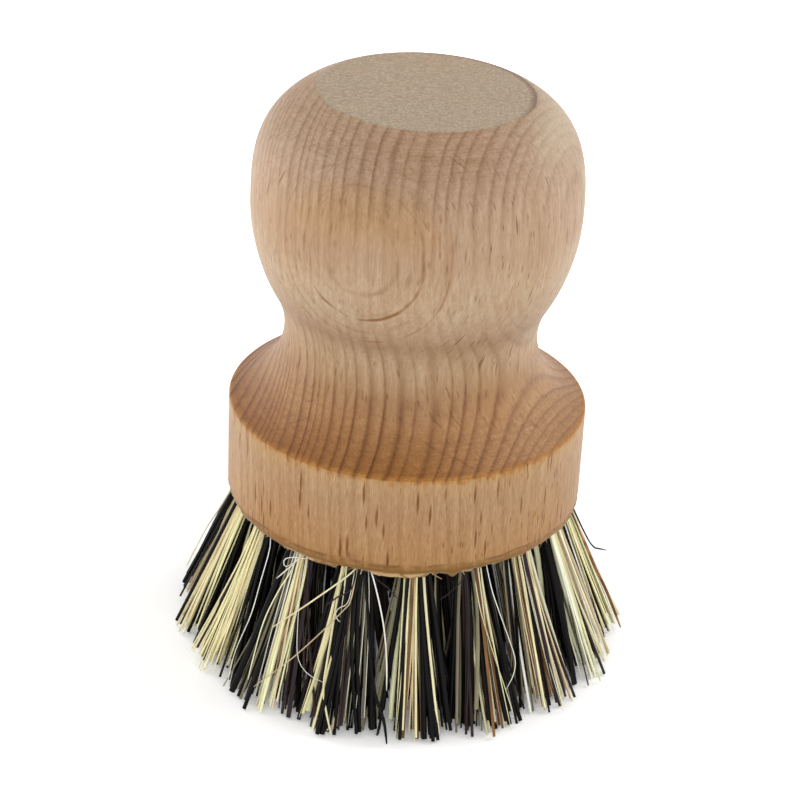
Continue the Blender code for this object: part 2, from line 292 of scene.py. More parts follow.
# %% Grazed plates
# These are four thin sheets that the turned front only just cuts, so that each shows as a long arc.
# Each one's place across the rays in mm, and its strength
PLATES = ((-26.45, 0.35), (-25.2, 1.0), (-24.2, 0.3), (-23.3, 0.7))
PLATE_CORE = 0.02  # the dark middle's half thickness
PLATE_REACH = (0.07, 0.17)  # how far from its middle it fades out, where it is faint and where strong
plate_bend = node(wood, "Math", {0: noises["plate wave"], 1: 0.5}, operation="SUBTRACT")
across = node(wood, "SeparateXYZ", {0: tree_place}).outputs["Y"]
across_bent = node(wood, "Math", {0: plate_bend, 1: 0.45, 2: across}, operation="MULTIPLY_ADD")
plate_low = node(wood, "MapRange", {0: height, 1: 72, 2: 86, 3: 1.0, 4: 0.35})
plate_foot = node(wood, "MapRange", {0: height, 1: 58, 2: 62})
plate_show = node(wood, "MapRange", {0: noises["plate parts"], 1: 0.38, 2: 0.60, 3: 0.12, 4: 1.0})
plate_reach = node(wood, "MapRange", {0: plate_show, 3: PLATE_REACH[0], 4: PLATE_REACH[1]})
plate_tone = 0.0
for plate_place, strength in PLATES:
    beside = node(wood, "Math", {0: across_bent, 1: plate_place}, operation="SUBTRACT")
    beside = node(wood, "Math", {0: beside}, operation="ABSOLUTE")
    sheet = node(
        wood,
        "MapRange",
        {0: beside, 1: PLATE_CORE, 2: plate_reach, 3: strength, 4: 0.0},
        interpolation_type="SMOOTHSTEP",
    )
    plate_tone = node(wood, "Math", {0: plate_tone, 1: sheet}, operation="MAXIMUM")
for share in (plate_low, plate_foot, plate_show):
    plate_tone = node(wood, "Math", {0: plate_tone, 1: share}, operation="MULTIPLY")
print("plates grazed:", len(PLATES))

# %% Pores
# Real ones are under 0.1 mm wide, so they are drawn 0.2 mm wide and 1.6 mm long, which the render shows.
pore_place = node(wood, "VectorMath", {0: rippled, 1: (1 / 0.2, 1 / 0.2, 1 / 1.6)}, operation="MULTIPLY")
pores = node(wood, "TexNoise", {"Vector": pore_place, "Scale": 1, "Detail": 4, "Roughness": 0.65})
side_texture = node(wood, "MapRange", {0: height, 1: 44, 2: 50, 3: 1.0, 4: 0.7})
pore_tone = node(wood, "MapRange", {0: pores, 1: 0.34, 2: 0.70})
pore_tone = node(wood, "Math", {0: pore_tone, 1: side_texture}, operation="MULTIPLY")
print("pores 0.2 mm wide")

# %% Streaks and patches
# The streaks of tone are 0.8 mm wide and drawn out along the grain, and the patches 14 mm across.
streak_place = node(wood, "VectorMath", {0: rippled, 1: (1 / 0.8, 1 / 0.8, 1 / 18)}, operation="MULTIPLY")
streaks = node(wood, "TexNoise", {"Vector": streak_place, "Scale": 1, "Detail": 2})
streak_tone = node(wood, "MapRange", {0: streaks, 1: 0.35, 2: 0.68})
patch_tone = node(wood, "MapRange", {0: noises["patches"], 1: 0.3, 2: 0.7})
print("streaks 0.8 mm wide, patches 14 mm")

# %% Fine marks of the turning tool run round the axis
# They keep their tone over 5 mm of the round, and change from mark to mark across it. The fourth dimension of
# the noise is the radius, so the marks close without a seam.
MARK_WIDTH = 0.35
mark_place = node(wood, "VectorMath", {0: place, 1: (1 / 5, 1 / 5, 1 / MARK_WIDTH)}, operation="MULTIPLY")
mark_radius = node(wood, "Math", {0: radius_here, 1: 1 / MARK_WIDTH}, operation="MULTIPLY")
marks = node(
    wood, "TexNoise", {"Vector": mark_place, "W": mark_radius, "Scale": 1, "Detail": 2}, noise_dimensions="4D"
)
mark_tone = node(wood, "MapRange", {0: marks, 1: 0.36, 2: 0.66})
mark_show = node(wood, "MapRange", {0: upward, 1: 0.25, 2: 0.7})
mark_tone = node(wood, "Math", {0: mark_tone, 1: mark_show}, operation="MULTIPLY")
print("tool marks", MARK_WIDTH, "mm wide")

# %% End grain is a fine speckle of cut pores
SPECKLE_SIZE = 0.5  # the groups of pores, in mm
speckle_settings = {"Vector": place, "Scale": 1 / SPECKLE_SIZE, "Detail": 5, "Roughness": 0.8}
speckle = node(wood, "TexNoise", speckle_settings)
speckle_tone = node(wood, "MapRange", {0: speckle, 1: 0.36, 2: 0.64})
end_show = node(wood, "MapRange", {0: upward, 1: 0.2, 2: 0.7})
end_speckle = node(wood, "Math", {0: end_show, 1: speckle_tone}, operation="MULTIPLY")
print("speckle", SPECKLE_SIZE, "mm across")

# %% The ground colour: along the grain and across it, each from the foot upwards
LONG_GRAIN = (
    (27, "#BC905A"),
    (31, "#C29B6D"),
    (40, "#C5A380"),
    (44, "#CDAB80"),
    (54, "#B5916D"),
    (66, "#DFCCB0"),
    (80, "#C5A78B"),
    (98, "#C4AD98"),
)
END_GRAIN = (
    (44, "#A8763B"),
    (50, "#BA9163"),
    (54, "#AE8662"),
    (84, "#C2AA94"),
    (98, "#C1A994"),
)
level = node(wood, "MapRange", {0: height, 1: FOOT_HEIGHT, 2: FLAT_HEIGHT})
grain_colours = []
for table in (LONG_GRAIN, END_GRAIN):
    ramp = node(wood, "ValToRGB", {0: level})
    stops = ramp.color_ramp.elements
    for index, (stop_height, colour) in enumerate(table):
        position = (stop_height - FOOT_HEIGHT) / (FLAT_HEIGHT - FOOT_HEIGHT)
        stop = stops[index] if index < 2 else stops.new(1.0)
        stop.position, stop.color = position, linear(colour)
    grain_colours.append(ramp)
print("ground colours:", len(LONG_GRAIN), "along the grain and", len(END_GRAIN), "across it")

# %% Lay the two grounds together, paint light on the right of the disc's upper face, and colour its rim
end_amount = node(
    wood, "MapRange", {0: across_grain, 1: 0.08, 2: 0.6}, interpolation_type="SMOOTHSTEP"
)
blend = node(wood, "Mix", {0: end_amount, 6: grain_colours[0], 7: grain_colours[1]}, data_type="RGBA")
ground = blend.outputs[2]
# The disc's upper face is painted paler on the right, a painted light from the upper right, and the rim is
# orange.
painted_light_low = node(wood, "MapRange", {0: height, 1: 52, 2: 58, 3: 0.45, 4: 0.0})
painted_light_side = node(wood, "MapRange", {0: rightwards, 1: 2, 2: 20})
painted_light_right = painted_light_low
for share in (painted_light_side, end_amount):
    painted_light_right = node(wood, "Math", {0: painted_light_right, 1: share}, operation="MULTIPLY")
rim_amount = node(wood, "Math", {0: rim_mask, 1: 0.8}, operation="MULTIPLY")
for amount, colour in ((painted_light_right, "#D1B08C"), (rim_amount, "#CC9950")):
    mixed = node(wood, "Mix", {0: amount, 6: ground, 7: linear(colour)}, data_type="RGBA")
    ground = mixed.outputs[2]
print("nodes up to the ground colour:", len(wood.nodes))

# %% Two broad patches: warm rays of the board, and a painted highlight
# Where the knob's front lies flat on the rays, they show as one broad patch of a warmer colour.
on_rays = node(wood, "Math", {0: facing.outputs["Y"]}, operation="ABSOLUTE")
warm_amount = node(wood, "MapRange", {0: on_rays, 1: 0.84, 2: 0.94}, interpolation_type="SMOOTHSTEP")
for fade in ({0: height, 1: 79, 2: 86}, {0: height, 1: 92, 2: 97, 3: 1.0, 4: 0.0}):
    share = node(wood, "MapRange", fade, interpolation_type="SMOOTHSTEP")
    warm_amount = node(wood, "Math", {0: warm_amount, 1: share}, operation="MULTIPLY")
# The right shoulder is painted paler: a painted highlight of the light from the upper right.
painted_highlight_side = node(
    wood, "MapRange", {0: rightwards, 1: 14, 2: 24, 3: 0.0, 4: 0.45}, interpolation_type="SMOOTHSTEP"
)
painted_highlight_high = node(wood, "MapRange", {0: height, 1: 89, 2: 97}, interpolation_type="SMOOTHSTEP")
painted_highlight_amount = node(wood, "Math", {0: painted_highlight_side, 1: painted_highlight_high}, operation="MULTIPLY")
print("patches: warm rays in front, painted highlight on the right shoulder")

# %% Darken the ground by each kind of figure, and lay the painted highlight over them
FIGURES = (
    # what, how much, and the colour that it multiplies by
    (patch_tone, 0.60, "#F6E8D2"),
    (streak_tone, 0.50, "#DFCFB8"),
    (pore_tone, 0.70, "#C8B79C"),
    (mark_tone, 0.32, "#CDB898"),
    (end_speckle, 0.60, "#CDB698"),
    (plate_tone, 0.95, "#BA9058"),
    (ray_tone, 1.00, "#BE9F74"),
    (needle_tone, 1.00, "#BA9868"),
    (ring_tone, 1.00, "#AE926A"),
    (warm_amount, 1.00, "#FBF1DF"),
)
for tone, strength, tint in FIGURES:
    amount = node(wood, "Math", {0: tone, 1: strength}, operation="MULTIPLY")
    settings = {0: amount, 6: ground, 7: linear(tint)}
    ground = node(wood, "Mix", settings, data_type="RGBA", blend_type="MULTIPLY").outputs[2]
with_painted_highlight = node(wood, "Mix", {0: painted_highlight_amount, 6: ground, 7: linear("#D6C7AD")}, data_type="RGBA")
ground = with_painted_highlight.outputs[2]
print("figures in the wood:", len(FIGURES))

# %% The foot's dark, ragged band, the painted shade in its groove, and its pale torn lip
band_height = node(wood, "Math", {0: noises["fray"], 1: -1.8, 2: height}, operation="MULTIPLY_ADD")
band = node(wood, "MapRange", {0: band_height, 1: FOOT_HEIGHT - 0.1, 2: FOOT_HEIGHT + 1.0, 3: 0.95, 4: 0.0})
# Painted shade darkens the groove that wanders along 1.5 mm above the foot, where the turning tool stopped.
crease_height = node(wood, "Math", {0: noises["painted_crease_shade"], 1: 1.6, 2: height}, operation="MULTIPLY_ADD")
crease_beside = node(wood, "Math", {0: crease_height, 1: FOOT_HEIGHT + 2.4}, operation="SUBTRACT")
crease_beside = node(wood, "Math", {0: crease_beside}, operation="ABSOLUTE")
painted_crease_shade = node(wood, "MapRange", {0: crease_beside, 1: 0.08, 2: 0.35, 3: 0.7, 4: 0.0})
crease_shade_show = node(wood, "MapRange", {0: noises["lip parts"], 1: 0.42, 2: 0.58, 3: 0.15, 4: 1.0})
painted_crease_shade = node(wood, "Math", {0: painted_crease_shade, 1: crease_shade_show}, operation="MULTIPLY")
lip_show = node(wood, "MapRange", {0: noises["lip parts"], 1: 0.46, 2: 0.54, 3: 0.1, 4: 0.95})
lip = node(wood, "MapRange", {0: height, 1: FOOT_HEIGHT - 0.35, 2: FOOT_HEIGHT + 0.3, 3: 1.0, 4: 0.0})
lip = node(wood, "Math", {0: lip, 1: lip_show}, operation="MULTIPLY")
for amount, colour in ((band, "#855C26"), (painted_crease_shade, "#6E4522"), (lip, "#D9B582")):
    mixed = node(wood, "Mix", {0: amount, 6: ground, 7: linear(colour)}, data_type="RGBA")
    ground = mixed.outputs[2]
print("the foot's crease is about 1.5 mm up")

# %% The sanded flat: greyish end grain with a speckle, small pits and smudges
jag = noises["jag"]
jagged_facing = node(wood, "Math", {0: jag, 1: 0.07, 2: upward}, operation="MULTIPLY_ADD")
flat_level = node(wood, "MapRange", {0: jagged_facing, 1: 0.975, 2: 1.01}, interpolation_type="SMOOTHSTEP")
flat_high = node(wood, "MapRange", {0: height, 1: FLAT_HEIGHT - 3, 2: FLAT_HEIGHT - 2})
flat_mask = node(wood, "Math", {0: flat_level, 1: flat_high}, operation="MULTIPLY")
pit_tone = node(wood, "MapRange", {0: noises["pits"], 1: 0.5, 2: 0.66, 3: 0.0, 4: 0.5})
smudge_tone = node(wood, "MapRange", {0: noises["smudges"], 1: 0.48, 2: 0.66, 3: 0.0, 4: 0.45})
smudge_back = node(wood, "MapRange", {0: backwards, 1: 2, 2: 12, 3: 0.25, 4: 1.0})
smudge_tone = node(wood, "Math", {0: smudge_tone, 1: smudge_back}, operation="MULTIPLY")
flat_colour = linear("#B9A68E")
for amount, colour in ((speckle_tone, "#85745F"), (pit_tone, "#8B7862"), (smudge_tone, "#AB8A6E")):
    mixed = node(wood, "Mix", {0: amount, 6: flat_colour, 7: linear(colour)}, data_type="RGBA")
    flat_colour = mixed.outputs[2]
ground = node(wood, "Mix", {0: flat_mask, 6: ground, 7: flat_colour}, data_type="RGBA").outputs[2]
print("pits 0.9 by 0.35 mm, smudges 8 by 3.5 mm")

# %% The flat's edge, on its right and at its back
# There it has a dark worn line, and just inside it a burn from the sanding.
back_right = node(wood, "VectorMath", {0: place, 1: (0.8, 0.6, 0)}, operation="DOT_PRODUCT")
edge_side = node(wood, "MapRange", {0: back_right.outputs["Value"], 1: 5, 2: 13})
edge_low = node(wood, "MapRange", {0: jagged_facing, 1: 0.935, 2: 0.965})
edge_line = node(wood, "MapRange", {0: jagged_facing, 1: 0.99, 2: 1.02, 3: 1.0, 4: 0.0})
edge_mask = edge_low
for share in (edge_line, edge_side, flat_high):
    edge_mask = node(wood, "Math", {0: edge_mask, 1: share}, operation="MULTIPLY")
# The flat leans, so its edge is a little further out towards its low side.
lean_out = node(wood, "VectorMath", {0: place, 1: (0.033, -0.019, 0)}, operation="DOT_PRODUCT")
to_edge = node(wood, "Math", {0: radius_here, 1: lean_out.outputs["Value"]}, operation="SUBTRACT")
to_edge = node(wood, "Math", {0: jag, 1: 0.8, 2: to_edge}, operation="MULTIPLY_ADD")
burn = node(wood, "MapRange", {0: to_edge, 1: 16.7, 2: 17.4, 3: 0.0, 4: 0.75})
burn_side = node(wood, "MapRange", {0: back_right.outputs["Value"], 1: 6, 2: 12})
for share in (burn_side, flat_mask):
    burn = node(wood, "Math", {0: burn, 1: share}, operation="MULTIPLY")
for amount, colour in ((edge_mask, "#644E3D"), (burn, "#7A584A")):
    mixed = node(wood, "Mix", {0: amount, 6: ground, 7: linear(colour)}, data_type="RGBA")
    ground = mixed.outputs[2]
print("the flat's worn edge is about 17 mm out")

# %% Roughness and bump of the wood
rough_wood = node(wood, "MapRange", {0: pores, 1: 0.3, 2: 0.7, 3: 0.5, 4: 0.62})
rough = node(wood, "Mix", {0: flat_mask, 2: rough_wood, 3: 0.85}, data_type="FLOAT")
bump_height = node(wood, "Math", {0: pores, 1: ray_tone}, operation="SUBTRACT")
flat_bump = node(wood, "Mix", {0: flat_mask, 2: bump_height, 3: speckle}, data_type="FLOAT")
bump = node(wood, "Bump", {"Strength": 0.45, "Distance": 0.08 * MM, "Height": flat_bump.outputs[0]})
wood.links.new(ground, wood_shader.inputs["Base Color"])
wood.links.new(rough.outputs[0], wood_shader.inputs["Roughness"])
wood.links.new(bump.outputs[0], wood_shader.inputs["Normal"])
wood_shader.inputs["IOR"].default_value = 1.5
wood_shader.inputs["Specular IOR Level"].default_value = 0.3  # dry open pores mirror little
wood_shader.inputs["Sheen Weight"].default_value = 0.18  # sanding leaves a fine nap that lightens the outline
wood_shader.inputs["Sheen Tint"].default_value = linear("#FFF5E8")
wood_shader.inputs["Sheen Roughness"].default_value = 0.4
print("beech:", len(wood.nodes), "nodes")

# %% [markdown]
# ## The handle's shape
# On the lathe the handle is one profile turned round an axis. Blender's Spin or Screw tools could do that,
# but the real piece isn't quite round: the flat was sanded by hand and leans a little, and the lower edge
# tore where the drill and the lathe tool left it. So the handle is built as a grid of points, one row for
# each height and one column for each direction, and each column may end its flat or its foot a little
# differently.

# %% The profile's sizes
RIM_EASE = 0.5
FOOT_EASE = 0.8
KNOB_RADIUS = 27
NECK_RADIUS = 21
NECK_HEIGHT = 57.2
KNOB_HEIGHT = 79.9
CROWN_RISE = 20.9
SHOULDER_POWER = 2.9
COLUMNS = 384
turns = 2 * pi * np.arange(COLUMNS) / COLUMNS  # from the front, -Y, towards +X


def arc(centre, radius, start, end, steps):
    angles = np.linspace(start, end, steps + 1)
    return np.stack([centre[0] + radius * np.cos(angles), centre[1] + radius * np.sin(angles)], 1)


def neck_and_cheek():
    """The hollow of the neck, an arc from the rim, and the next arc, to the knob's widest place."""
    rise, knob_rise = NECK_HEIGHT - RIM_HEIGHT, KNOB_HEIGHT - NECK_HEIGHT
    run = DISC_RADIUS - RIM_EASE - NECK_RADIUS
    hollow = (run**2 + rise**2) / (2 * run)
    across = NECK_RADIUS + hollow - KNOB_RADIUS
    cheek = (across**2 + knob_rise**2 - hollow**2) / (2 * (hollow - across))
    meeting = atan2(knob_rise, across + cheek)
    start = pi + atan2(rise, hollow - run)
    lower = arc((NECK_RADIUS + hollow, NECK_HEIGHT), hollow, start, pi - meeting, 44)
    upper = arc((KNOB_RADIUS - cheek, KNOB_HEIGHT), cheek, -meeting, 0, 26)
    return np.concatenate([lower[1:], upper[1:]])


print("neck and cheek:", len(neck_and_cheek()), "rows")

# %% Chips and burrs along the foot
# The edge's rounding grows where wood tore off, and a lip hangs where it stayed.
rng = np.random.default_rng(11)


def along_edge(count, half_widths, sizes, steepness=2):
    """Bumps of random place, width and size along the foot's edge, one value for each column."""
    total = np.zeros(COLUMNS)
    for _ in range(count):
        middle = rng.random() * 2 * pi
        half_width, size = rng.uniform(*half_widths) / DISC_RADIUS, rng.uniform(*sizes)
        away = np.abs((turns - middle + pi) % (2 * pi) - pi) / half_width
        total = np.maximum(total, size * np.clip(1 - away**steepness, 0, 1))
    return total


foot_ease = FOOT_EASE + along_edge(70, (0.8, 3.0), (0.1, 0.7))
foot_lip = along_edge(26, (1.5, 6.0), (0.2, 0.65)) + along_edge(60, (0.5, 1.2), (0.0, 0.3))
foot_lip += along_edge(16, (0.9, 2.6), (0.2, 0.5), 8)
# The broad lobes that hang at the front: from and to, in degrees from the front towards +X, and how far down
# in mm
LOBES = ((-30.0, -19.5, 0.9), (-9.5, 11.0, 1.1), (39.5, 46.5, 0.55))
for start, end, size in LOBES:
    away = (turns - radians(start + end) / 2 + pi) % (2 * pi) - pi
    foot_lip = np.maximum(foot_lip, size * np.clip(1 - (away / radians((end - start) / 2)) ** 12, 0, 1))
print("foot's rounding:", round(foot_ease.min(), 2), "to", round(foot_ease.max(), 2), "mm")
print("foot's lip: up to", round(foot_lip.max(), 2), "mm")

# %% The flat
# For each column this finds the turn of the crown's curve at which it meets a plane that leans a little.
FLAT_LEAN = radians(0.9)
FLAT_LOW_TURN = radians(60)  # the lean's low side, from the front towards +X
FLAT_RADIUS = 16.5  # about, so that the flat's highest place is at its full height


def crown(turn):
    return (
        KNOB_RADIUS * np.cos(turn) ** (2 / SHOULDER_POWER),
        KNOB_HEIGHT + CROWN_RISE * np.sin(turn) ** (2 / SHOULDER_POWER),
    )


def flat_height(radius, turn):
    return FLAT_HEIGHT - tan(FLAT_LEAN) * (radius * np.cos(turn - FLAT_LOW_TURN) + FLAT_RADIUS)


low_turn, high_turn = np.full(COLUMNS, 0.3), np.full(COLUMNS, pi / 2)
for _ in range(40):
    middle = (low_turn + high_turn) / 2
    radius, level = crown(middle)
    above = level > flat_height(radius, turns)
    high_turn, low_turn = np.where(above, middle, high_turn), np.where(above, low_turn, middle)
edge_turn = low_turn
edge_radius = crown(edge_turn)[0]
print("flat's edge at radius", edge_radius.min().round(2), "to", edge_radius.max().round(2))

# %% All rows of the handle, from the foot to the middle of the flat
# Shares of the way up the disc's side, up the crown and in from the flat's edge: closer where the shape is
# finer
SIDE_SHARES = (0.012, 0.025, 0.04, 0.055, 0.07, 0.085, 0.1, 0.12, 0.15, *np.linspace(0.2, 1, 17))
CROWN_SHARES = (*np.linspace(0, 0.9, 40)[1:], 0.93, 0.955, 0.972, 0.982, 0.989, 0.995, 1.0)
FLAT_SHARES = (0.993, 0.985, 0.975, 0.96, 0.93, 0.88, 0.78, 0.6, 0.4, 0.2, 0.05)


def round_row(radius, level):
    """A row with one radius and one height for every column."""
    return np.full(COLUMNS, float(radius)), np.full(COLUMNS, float(level))


rows = [round_row(DISC_RADIUS - FOOT_EASE - 0.8, FOOT_HEIGHT)]
rows.append((DISC_RADIUS - foot_ease - 0.35, FOOT_HEIGHT - foot_lip * 0.7))
rows.append((DISC_RADIUS - foot_ease - 0.15, FOOT_HEIGHT - foot_lip))
for angle in np.linspace(0, pi / 2, 7):
    hang = foot_lip * (1 - sin(angle)) ** 2 * 0.8
    level = FOOT_HEIGHT + foot_ease * (1 - cos(angle)) - hang
    rows.append((DISC_RADIUS - foot_ease * (1 - sin(angle)), level))
side_low, side_high = FOOT_HEIGHT + foot_ease, RIM_HEIGHT - RIM_EASE
for share in SIDE_SHARES:
    rows.append((np.full(COLUMNS, float(DISC_RADIUS)), side_low + (side_high - side_low) * share))
rim = arc((DISC_RADIUS - RIM_EASE, RIM_HEIGHT - RIM_EASE), RIM_EASE, 0, pi / 2, 5)[1:]
rows += [round_row(*place) for place in np.concatenate([rim, neck_and_cheek()])]
rows += [crown(edge_turn * share) for share in CROWN_SHARES]
edge_row = len(rows) - 1
rows += [(edge_radius * share, flat_height(edge_radius * share, turns)) for share in FLAT_SHARES]
grid = np.array([[radius * np.sin(turns), -radius * np.cos(turns), level] for radius, level in rows])
grid = grid.transpose(0, 2, 1)
for _ in range(6):  # the sanding paper rolls over the flat's edge a little
    near = slice(edge_row - 4, edge_row + 5)
    grid[near] = (grid[edge_row - 5 : edge_row + 4] + 2 * grid[near] + grid[edge_row - 3 : edge_row + 6]) / 4
print("handle:", grid.shape[0], "rows of", COLUMNS)

# %% Unevenness of the turned surface
# The torn foot is rougher, and a shallow groove runs round where the turning tool stopped.
SWELL, SWELL_SIZE = 0.03, 7  # height and size of the waves in mm
TEAR, TEAR_SIZE = 0.12, 0.9
TORN_ROWS = range(2, 12)
GROOVE_UP, GROOVE_DEPTH, GROOVE_HALF_WIDTH = 1.5, 0.2, 0.3
for row in range(grid.shape[0]):
    torn = TEAR if row in TORN_ROWS else 0.0
    for column in range(COLUMNS):
        point = Vector(grid[row, column])
        swell = SWELL * noise.noise(point / SWELL_SIZE) + torn * noise.noise(point / TEAR_SIZE)
        if row > 2 and point.z < FOOT_HEIGHT + 2 * GROOVE_UP:
            wander = point.z - FOOT_HEIGHT - GROOVE_UP - 0.5 * noise.noise(point / 5)
            deep = GROOVE_DEPTH * exp(-((wander / GROOVE_HALF_WIDTH) ** 2))
            swell -= deep * (0.6 + noise.noise(point / 4))
        if row > 0:
            grid[row, column, :2] *= 1 + swell / max(Vector(point[:2]).length, 1)
print("waves of", SWELL, "mm, and a groove", GROOVE_DEPTH, "mm deep")

# %% Points and faces of the handle
points = grid.reshape(-1, 3)
faces = []
for row in range(grid.shape[0] - 1):
    for column in range(COLUMNS):
        beside = (column + 1) % COLUMNS
        low, high = row * COLUMNS, (row + 1) * COLUMNS
        faces.append((low + column, low + beside, high + beside, high + column))
faces.append(tuple(range(COLUMNS))[::-1])
faces.append(tuple(range(points.shape[0] - COLUMNS, points.shape[0])))
HANDLE_SHARP = 50
handle = add_piece("turned_handle", points, faces, beech, smooth_below=HANDLE_SHARP)
print("handle:", len(faces), "faces before drilling")

# %% [markdown]
# ## Drilling the disc
# A real brush is drilled by a machine that tilts each hole outwards, so that the tufts flare. The hole mouths
# lie on three rings. Blender's Boolean modifier does the drilling with cutters that have the same places and
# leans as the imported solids. It keeps the walls of the holes, which a texture or a bump could not give, so
# the brush also looks right from below and where fibres are short.

# %% Where the holes are
HOLE_RADIUS, HOLE_DEPTH = 2.8, 9
EDGE_WALL = 0.9
RING_NAMES = ("outer", "middle", "inner")
TUFT_COUNTS = (17, 9, 3)
RING_SHARES = (1, 0.63, 0.26)
LEANS = (radians(19.4), radians(13.7), radians(4.2))
FIRST_TURNS = (radians(5.5), radians(22), radians(60))
outer_radius = DISC_RADIUS - FOOT_EASE - EDGE_WALL - HOLE_RADIUS / cos(LEANS[0])
ring_radii = [outer_radius * share for share in RING_SHARES]


def mouths(ring):
    """Each hole mouth's frame in a ring, in millimetres, with -Y outwards and +Z up."""
    for i in range(TUFT_COUNTS[ring]):
        turn = Matrix.Rotation(FIRST_TURNS[ring] + 2 * pi * i / TUFT_COUNTS[ring], 4, "Z")
        yield turn @ Matrix.Translation((0, -ring_radii[ring], FOOT_HEIGHT))


def moved(matrix, places):
    """The places, an array whose last axis is x, y, z, moved by the matrix."""
    table = np.array(matrix)
    return places @ table[:3, :3].T + table[:3, 3]


print("rings of holes at radius", [round(radius, 2) for radius in ring_radii])

# %% Drill the holes and the bores of the staples' legs
LEG_OFFSET, BORE_RADIUS, BORE_DEPTH = 1.9, 0.7, 12.8
DRILL_SIDES, BORE_SIDES = 32, 8
cutter_points, cutter_faces = [], []
for ring in range(len(RING_NAMES)):
    for mouth in mouths(ring):
        hole = mouth @ Matrix.Rotation(-LEANS[ring], 4, "X")
        drills = [(0, HOLE_RADIUS, -3, HOLE_DEPTH, DRILL_SIDES)]
        for side in (-1, 1):
            drills.append((side * LEG_OFFSET, BORE_RADIUS, HOLE_DEPTH - 1, BORE_DEPTH, BORE_SIDES))
        for aside, radius, low, high, sides in drills:
            around = 2 * pi * np.arange(sides) / sides
            x, y = aside + radius * np.cos(around), radius * np.sin(around)
            ends = [np.stack([x, y, np.full(sides, float(level))], 1) for level in (low, high)]
            first = sum(len(block) for block in cutter_points)
            cutter_points.append(moved(hole, np.concatenate(ends)))
            cutter_faces.append([first + i for i in reversed(range(sides))])
            cutter_faces.append([first + sides + i for i in range(sides)])
            for i in range(sides):
                j = (i + 1) % sides
                cutter_faces.append([first + i, first + j, first + sides + j, first + sides + i])
drill = add_piece("drill", np.concatenate(cutter_points), cutter_faces, beech)
drilling = handle.modifiers.new("drilling", "BOOLEAN")
drilling.object, drilling.solver, drilling.use_self = drill, "EXACT", True
drilled = bpy.data.meshes.new_from_object(handle.evaluated_get(bpy.context.evaluated_depsgraph_get()))
handle.modifiers.clear()
handle.data = drilled
drilled.shade_smooth()
drilled.set_sharp_from_angle(angle=radians(HANDLE_SHARP))
bpy.data.objects.remove(drill)
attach(handle, "root")
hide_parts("handle")
print("handle:", len(drilled.polygons), "faces after drilling")

# %% [markdown]
# ## Plant fibre
# The tufts are a union mix: pale, waxy agave fibre and thicker dark palm fibre, with a few red-brown ones.
# Each fibre is a dried strip of a leaf, so it has fine streaks along its length and a dull shine. All fibres
# share one material: their own colour is stored on their points, and the streaks follow a second stored
# value, the place round and along the fibre, so they turn with it.

# %% The fibres' finish
fibre, strip, fibre_shader = new_finish("dried_plant_fibre")
tone = node(strip, "Attribute", attribute_name="tone").outputs["Color"]
grain = node(strip, "Attribute", attribute_name="grain").outputs["Vector"]
# The streaks are a sixth of a millimetre wide and 4 mm long.
streak_place = node(strip, "VectorMath", {0: grain, 1: (6, 6, 1 / 4)}, operation="MULTIPLY")
streak = node(strip, "TexNoise", {"Vector": streak_place, "Scale": 1, "Detail": 2})
streak_light = node(strip, "MapRange", {0: streak, 1: 0.3, 2: 0.7, 3: 0.84, 4: 1.14})
streaked = node(strip, "VectorMath", {0: tone, "Scale": streak_light}, operation="SCALE")
strip.links.new(streaked.outputs[0], fibre_shader.inputs["Base Color"])
fibre_shader.inputs["Roughness"].default_value = 0.5
fibre_shader.inputs["IOR"].default_value = 1.5
fibre_shader.inputs["Specular IOR Level"].default_value = 0.12
fibre_bump = node(strip, "Bump", {"Strength": 0.3, "Distance": 0.05 * MM, "Height": streak})
strip.links.new(fibre_bump.outputs[0], fibre_shader.inputs["Normal"])
print("plant fibre:", len(strip.nodes), "nodes")

# %% The kinds of fibre
FIBRE_KINDS = {
    # each one's letter: its colour, half width and half thickness in mm, and its share of drawn bands
    "c": ("#FBF0BE", 0.21, 0.14, 0.28),  # cream agave
    "i": ("#FBF8D6", 0.20, 0.14, 0.10),  # ivory agave
    "w": ("#FAF8D2", 0.40, 0.16, 0.04),  # a wide, flat ivory strip
    "h": ("#FDF8E8", 0.10, 0.08, 0.08),  # a thin pale hair
    "t": ("#E2CAA2", 0.16, 0.12, 0.05),  # tan agave
    "k": ("#080606", 0.29, 0.23, 0.24),  # black palm
    "p": ("#362B2B", 0.26, 0.20, 0.12),  # plum-brown palm
    "r": ("#6E482F", 0.29, 0.17, 0.04),  # rust-brown palm
    # The olive kind is pale agave with painted shade: its dull colour stands in for pale fibres in shadow.
    "o": ("#7F7860", 0.22, 0.15, 0.08),  # dull olive agave
}
PALE = "ciwht"
print("fibre kinds:", len(FIBRE_KINDS))

# %% [markdown]
# ## A tuft of folded fibres
# A filling machine lays a bunch across the hole, bends it over a staple and drives both in. So each fibre
# here is one long tube too: it comes down one side of the hole, and its other half comes down the other side.
# Outside the mouth it bends away from its neighbours and then runs nearly straight. Curves with a bevel or
# Blender's hair could make tubes, but both keep a round section, and a leaf strip is flat and twists a
# little. So the tubes are built as arrays, all fibres of a tuft at once.

# %% Tubes with a flat section round many paths at once
SECTION_SIDES = 6


